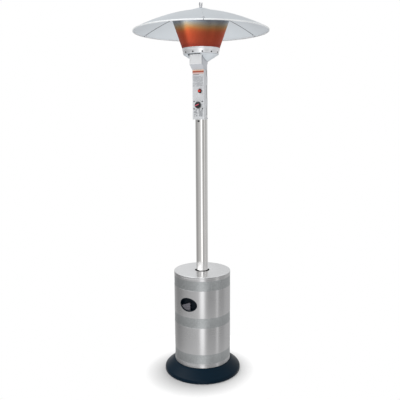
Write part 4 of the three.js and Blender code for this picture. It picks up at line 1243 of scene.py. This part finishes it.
def build_emitter():
    """A cone of hexagonal holes; each row is scaled so that its holes keep their shape as the cone widens."""
    low, high = extent("emitter_screen")
    bottom_radius = 116.5
    top_radius = high.x
    slant = math.hypot(top_radius - bottom_radius, high.z - low.z)
    columns = 126
    turn = 2 * math.pi / columns
    growth = (top_radius - bottom_radius) / slant * turn
    rows = math.log(top_radius / bottom_radius) / growth
    wall = 0.5
    hole_share = 0.40

    def on_cone(across, along):
        radius = bottom_radius * math.exp(growth * along) - wall
        share = (radius + wall - bottom_radius) / (top_radius - bottom_radius)
        return polar(radius, turn * across, low.z + (high.z - low.z) * share)

    row_step = math.sqrt(3) / 2
    corners = [(0.5 * math.sqrt(4 / 3) * math.sin(math.radians(60 * k)),
        0.5 * math.sqrt(4 / 3) * math.cos(math.radians(60 * k))) for k in range(6)]
    points = []
    faces = []
    count = int((rows - 1.0) / row_step)
    margin = (rows - (count - 1) * row_step) / 2
    for row in range(count):
        along = margin + row * row_step
        for column in range(columns):
            across = column + 0.5 * (row % 2)
            start = len(points)
            for share in (1, hole_share):
                points += [on_cone(across + share * dx, along + share * dy) for dx, dy in corners]
            for k in range(6):
                faces.append([start + k, start + (k + 1) % 6, start + 6 + (k + 1) % 6, start + 6 + k])
    mesh = piece("mesh", points, faces)
    shape = bmesh.new()
    shape.from_mesh(mesh.data)
    bmesh.ops.remove_doubles(shape, verts=shape.verts, dist=1e-5)
    shape.to_mesh(mesh.data)
    shape.free()
    thicken = mesh.modifiers.new("thickness", "SOLIDIFY")
    thicken.thickness = 0.7 * MM
    thicken.offset = 0
    bake(mesh)
    # A dark inner skin closes the holes, so that the screen is not seen through from one side to the other;
    # its colour is painted shade for the dim inside of the screen.
    skin = revolve("skin", [(bottom_radius - 1.15, low.z + 1), (bottom_radius - 0.9, low.z + 1),
        (top_radius - 0.9, high.z - 1), (top_radius - 1.15, high.z - 1)], 192)
    hem = 6.5
    hems = []
    for base, ends in (((bottom_radius, low.z), (0, hem)), ((top_radius, high.z), (-hem, 0))):
        lean_r = (top_radius - bottom_radius) / slant
        lean_z = (high.z - low.z) / slant
        a, b = ends
        outer = [(base[0] + lean_r * a, base[1] + lean_z * a), (base[0] + lean_r * b, base[1] + lean_z * b)]
        outline = [(*outer[0], 0.3), (*outer[1], 0.3), (outer[1][0] - 1.2, outer[1][1], 0.3),
            (outer[0][0] - 1.2, outer[0][1], 0.3)]
        hems.append(revolve("hem", rounded(outline, 2), 192))
    done(merged("emitter_screen_perforated", mesh, (skin, 1), *hems), "emitter_screen",
        [heat_steel, painted_inner_shade], sharp=50)

    low, high = extent("emitter_top")
    plate_top = low.z + 4
    stud = 4
    outline = rounded([(0, low.z, 0), (high.x, low.z, 0.8), (high.x, plate_top, 1.2), (160, plate_top, 1),
        (150, plate_top - 1.6, 2), (90, plate_top - 1.6, 2), (80, plate_top, 1), (12, plate_top, 2),
        (10, plate_top + 7, 0.8), (stud, plate_top + 7.5, 0.2)], 3, closed=False)
    outline += ridges(plate_top + 8, high.z - 2, 1.25, (stud - 0.45, 0), (stud, 0.6))
    outline += [(stud - 0.5, high.z - 0.6), (stud - 1, high.z), (0, high.z)]
    done(revolve("emitter_top_plate", outline, 160), "emitter_top", zinc)


# ---- Reflector ----

REFLECTOR_APEX = 2322
REFLECTOR_POWER = 1.7
REFLECTOR_LIP = 7
REFLECTOR_HOLE = 30      # radius of the hole at the top of the panels
REFLECTOR_BEND = 2.4     # the lip begins this far in from the rim
SEAM_GAP = 0.5


def dome_height(radius, outer, rim):
    rise = REFLECTOR_APEX - rim - REFLECTOR_LIP
    return REFLECTOR_APEX - rise * (radius / outer) ** REFLECTOR_POWER


def panel_outline(outer, rim):
    """(radius, height, share of lip) round the section of a panel, over the top and back underneath."""
    over = []
    for k in range(33):
        radius = REFLECTOR_HOLE + (outer - REFLECTOR_BEND - REFLECTOR_HOLE) * k / 32
        over.append((radius, dome_height(radius, outer, rim), 0.0))
    edge = dome_height(outer - REFLECTOR_BEND, outer, rim)
    lip = [(outer - 1.0, edge - 0.5, 0.6), (outer - 0.2, edge - 1.6, 1.0), (outer, edge - 2.8, 1.0),
        (outer, rim + 1.4, 1.0), (outer - 0.5, rim + 0.3, 1.0), (outer - 1.4, rim, 1.0),
        (outer - 2.3, rim + 0.4, 1.0), (outer - 2.6, rim + 1.4, 1.0), (outer - 2.0, rim + 2.6, 1.0),
        (outer - 1.3, rim + 3.2, 1.0), (outer - 1.3, edge - 3.2, 1.0), (outer - 2.4, edge - 1.7, 0.6)]
    under = [(radius, height - 1.3, 0.0) for radius, height, _ in reversed(over[:-1])]
    return over + lip + under


def build_reflector():
    low, high = extent("reflector_panel_1")
    rim = low.z
    outer = 420
    bolt_circle = outer - 16
    lap_start = 34
    steps = 56
    outline = panel_outline(outer, rim)
    for index, azimuth in enumerate(THIRDS):
        sections = []
        for i in range(steps + 1):
            section = []
            for radius, height, lip in outline:
                half = math.pi / 3 - (SEAM_GAP + 2.6 * lip) / 2 / radius
                section.append(polar(radius, -half + 2 * half * i / steps, height))
            sections.append(section)
        skin = lofted("skin", sections)
        # A joggled edge lies under the next panel and closes the seam; it and a backing strip at the lip are
        # coloured as painted shade, a dark line along the seam.
        sections = []
        samples = 24
        for i in range(samples + 1):
            radius = lap_start + (bolt_circle - lap_start) * i / samples
            height = dome_height(radius, outer, rim) - 1.32
            sections.append([polar(radius, math.pi / 3 + offset / radius, height - drop) for offset,
                drop in ((-2.2, 0), (2.2, 0), (2.2, 1.0), (-2.2, 1.0))])
        lap = lofted("lap", sections)
        edge = dome_height(outer - REFLECTOR_BEND, outer, rim)
        backing = prism("backing", rectangle(-2.2, 2.2, 1.6 - outer, 2.7 - outer), rim + 1.5, edge - 1)
        backing = spun(backing, 60)
        name = f"reflector_panel_{index + 1}"
        panel = spun(merged(name + "_pressed", skin, (lap, 2), (backing, 2)), azimuth)
        done(panel, name, [aluminium, lip_highlight, seam_shade], sharp=45)
        # The rolled lip takes the paler copy: a painted highlight along the rim.
        for polygon in panel.data.polygons:
            away = math.hypot(polygon.center.x, polygon.center.y) / MM
            if away > outer - 2.7 and polygon.material_index == 0:
                polygon.material_index = 1

        name = f"seam_bolt_{index + 1}"
        low, high = extent(name)
        seat = high.z - 4
        hexagon = prism("hexagon", circle(5.6, 6), seat + 0.8, high.z - 0.2, 0.8, 2)
        washer = prism("washer", circle(6, 32), seat, seat + 0.9, 0.25, 2)
        dome = revolve("dome", rounded([(0, high.z - 1.4, 0), (3.6, high.z - 1.4, 0), (3.0, high.z, 1.2),
            (0, high.z, 0)], 4, False), 32)
        shank = prism("shank", circle(3, 24), low.z, seat + 0.2, 0.4)
        bolt = moved(merged(name + "_hexagon", hexagon, washer, dome, shank), y=-bolt_circle)
        done(spun(bolt, azimuth + 60), name, zinc)

    low, high = extent("reflector_cap")
    radius = high.x
    top = high.z
    wall = 1.2
    over = []
    samples = 12
    edge = low.z + 2.4
    for k in range(samples + 1):
        share = k / samples
        over.append((4.3 + (radius - 1 - 4.3) * share, top - 0.2 - (top - 0.2 - edge) * share ** 1.15))
    lip = rounded([(radius, edge - 0.6, 0.4), (radius, low.z + 0.3, 0.3), (radius - 0.6, low.z, 0.2),
        (radius - wall, low.z + 0.4, 0.2), (radius - wall, edge - 1.4, 0.3)], 3)
    under = [(r, z - wall) for r, z in reversed(over)]
    done(revolve("reflector_cap_spun", over + lip + under, 144), "reflector_cap", aluminium)

    for i, azimuth in enumerate(THIRDS):
        name = f"spacer_{i + 1}"
        low, high = extent(name)
        spacer = revolve(name + "_turned", rounded([(0, low.z, 0), (6, low.z, 0.8), (6, low.z + 6, 0.4),
            (4.8, low.z + 7, 0.4), (4.8, high.z - 7, 0.4), (6, high.z - 6, 0.4), (6, high.z, 0.8),
            (0, high.z, 0)], 3, False), 40)
        done(spun(moved(spacer, y=-60), azimuth), name, zinc)


WING_NUT_TURN = 70


def build_wing_nut():
    low, high = extent("wing_nut")
    bottom = low.z
    half = 12.5
    hub = revolve("hub", rounded([(4.3, bottom, 0.4), (9, bottom, 0.8), (8.6, bottom + 3, 1),
        (7, bottom + 11, 2), (4.3, bottom + 11.4, 0.4)], 4), 48)
    outline = rounded([(5.2, bottom + 2, 1), (8.5, bottom + 3, 3), (half, bottom + 17, 8),
        (half - 0.6, high.z - 3, 4), (half - 4, high.z, 3), (half - 7.3, high.z - 5, 4),
        (5.2, bottom + 10, 3)], 6)
    wings = []
    for turn in (0, 180):
        wing = prism("wing", outline, -3.0, 3.0, 1.4, 4, 50)
        wings.append(spun(spun(wing, 90, "X"), turn))
    done(spun(merged("wing_nut_forged", hub, *wings), WING_NUT_TURN), "wing_nut", zinc, sharp=45)


# ---- CAD pieces whose shape is already right ----

KEPT = {"base_pan": (zinc, 0.8), "base_weight": (iron, 3), "valve_bracket": (zinc, 0.5),
    "gas_valve": (aluminium, 1.5), "valve_spindle": (brass, 0.6), "tilt_switch": (black, 1.5),
    "burner_pipe": (brass, 0.6), "burner": (soot_and_shade, 0.6), "pilot_burner": (soot_and_shade, 0.6),
    "thermocouple": (soot_and_shade, 0.8), **{f"leg_bolt_{i + 1}": (zinc, 0.5) for i in range(3)}}


def keep_inner_pieces():
    for node, (look, edge) in KEPT.items():
        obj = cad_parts[node]
        obj.data.materials.clear()
        obj.data.materials.append(look)
        soften(obj, edge, 2, 35)


build_base()
build_stand()
build_cylinder()
build_valve()
build_regulator()
build_housing()
build_handles()
build_covers()
build_screws()
build_controls()
build_burner_cup()
build_emitter()
build_reflector()
build_wing_nut()
keep_inner_pieces()
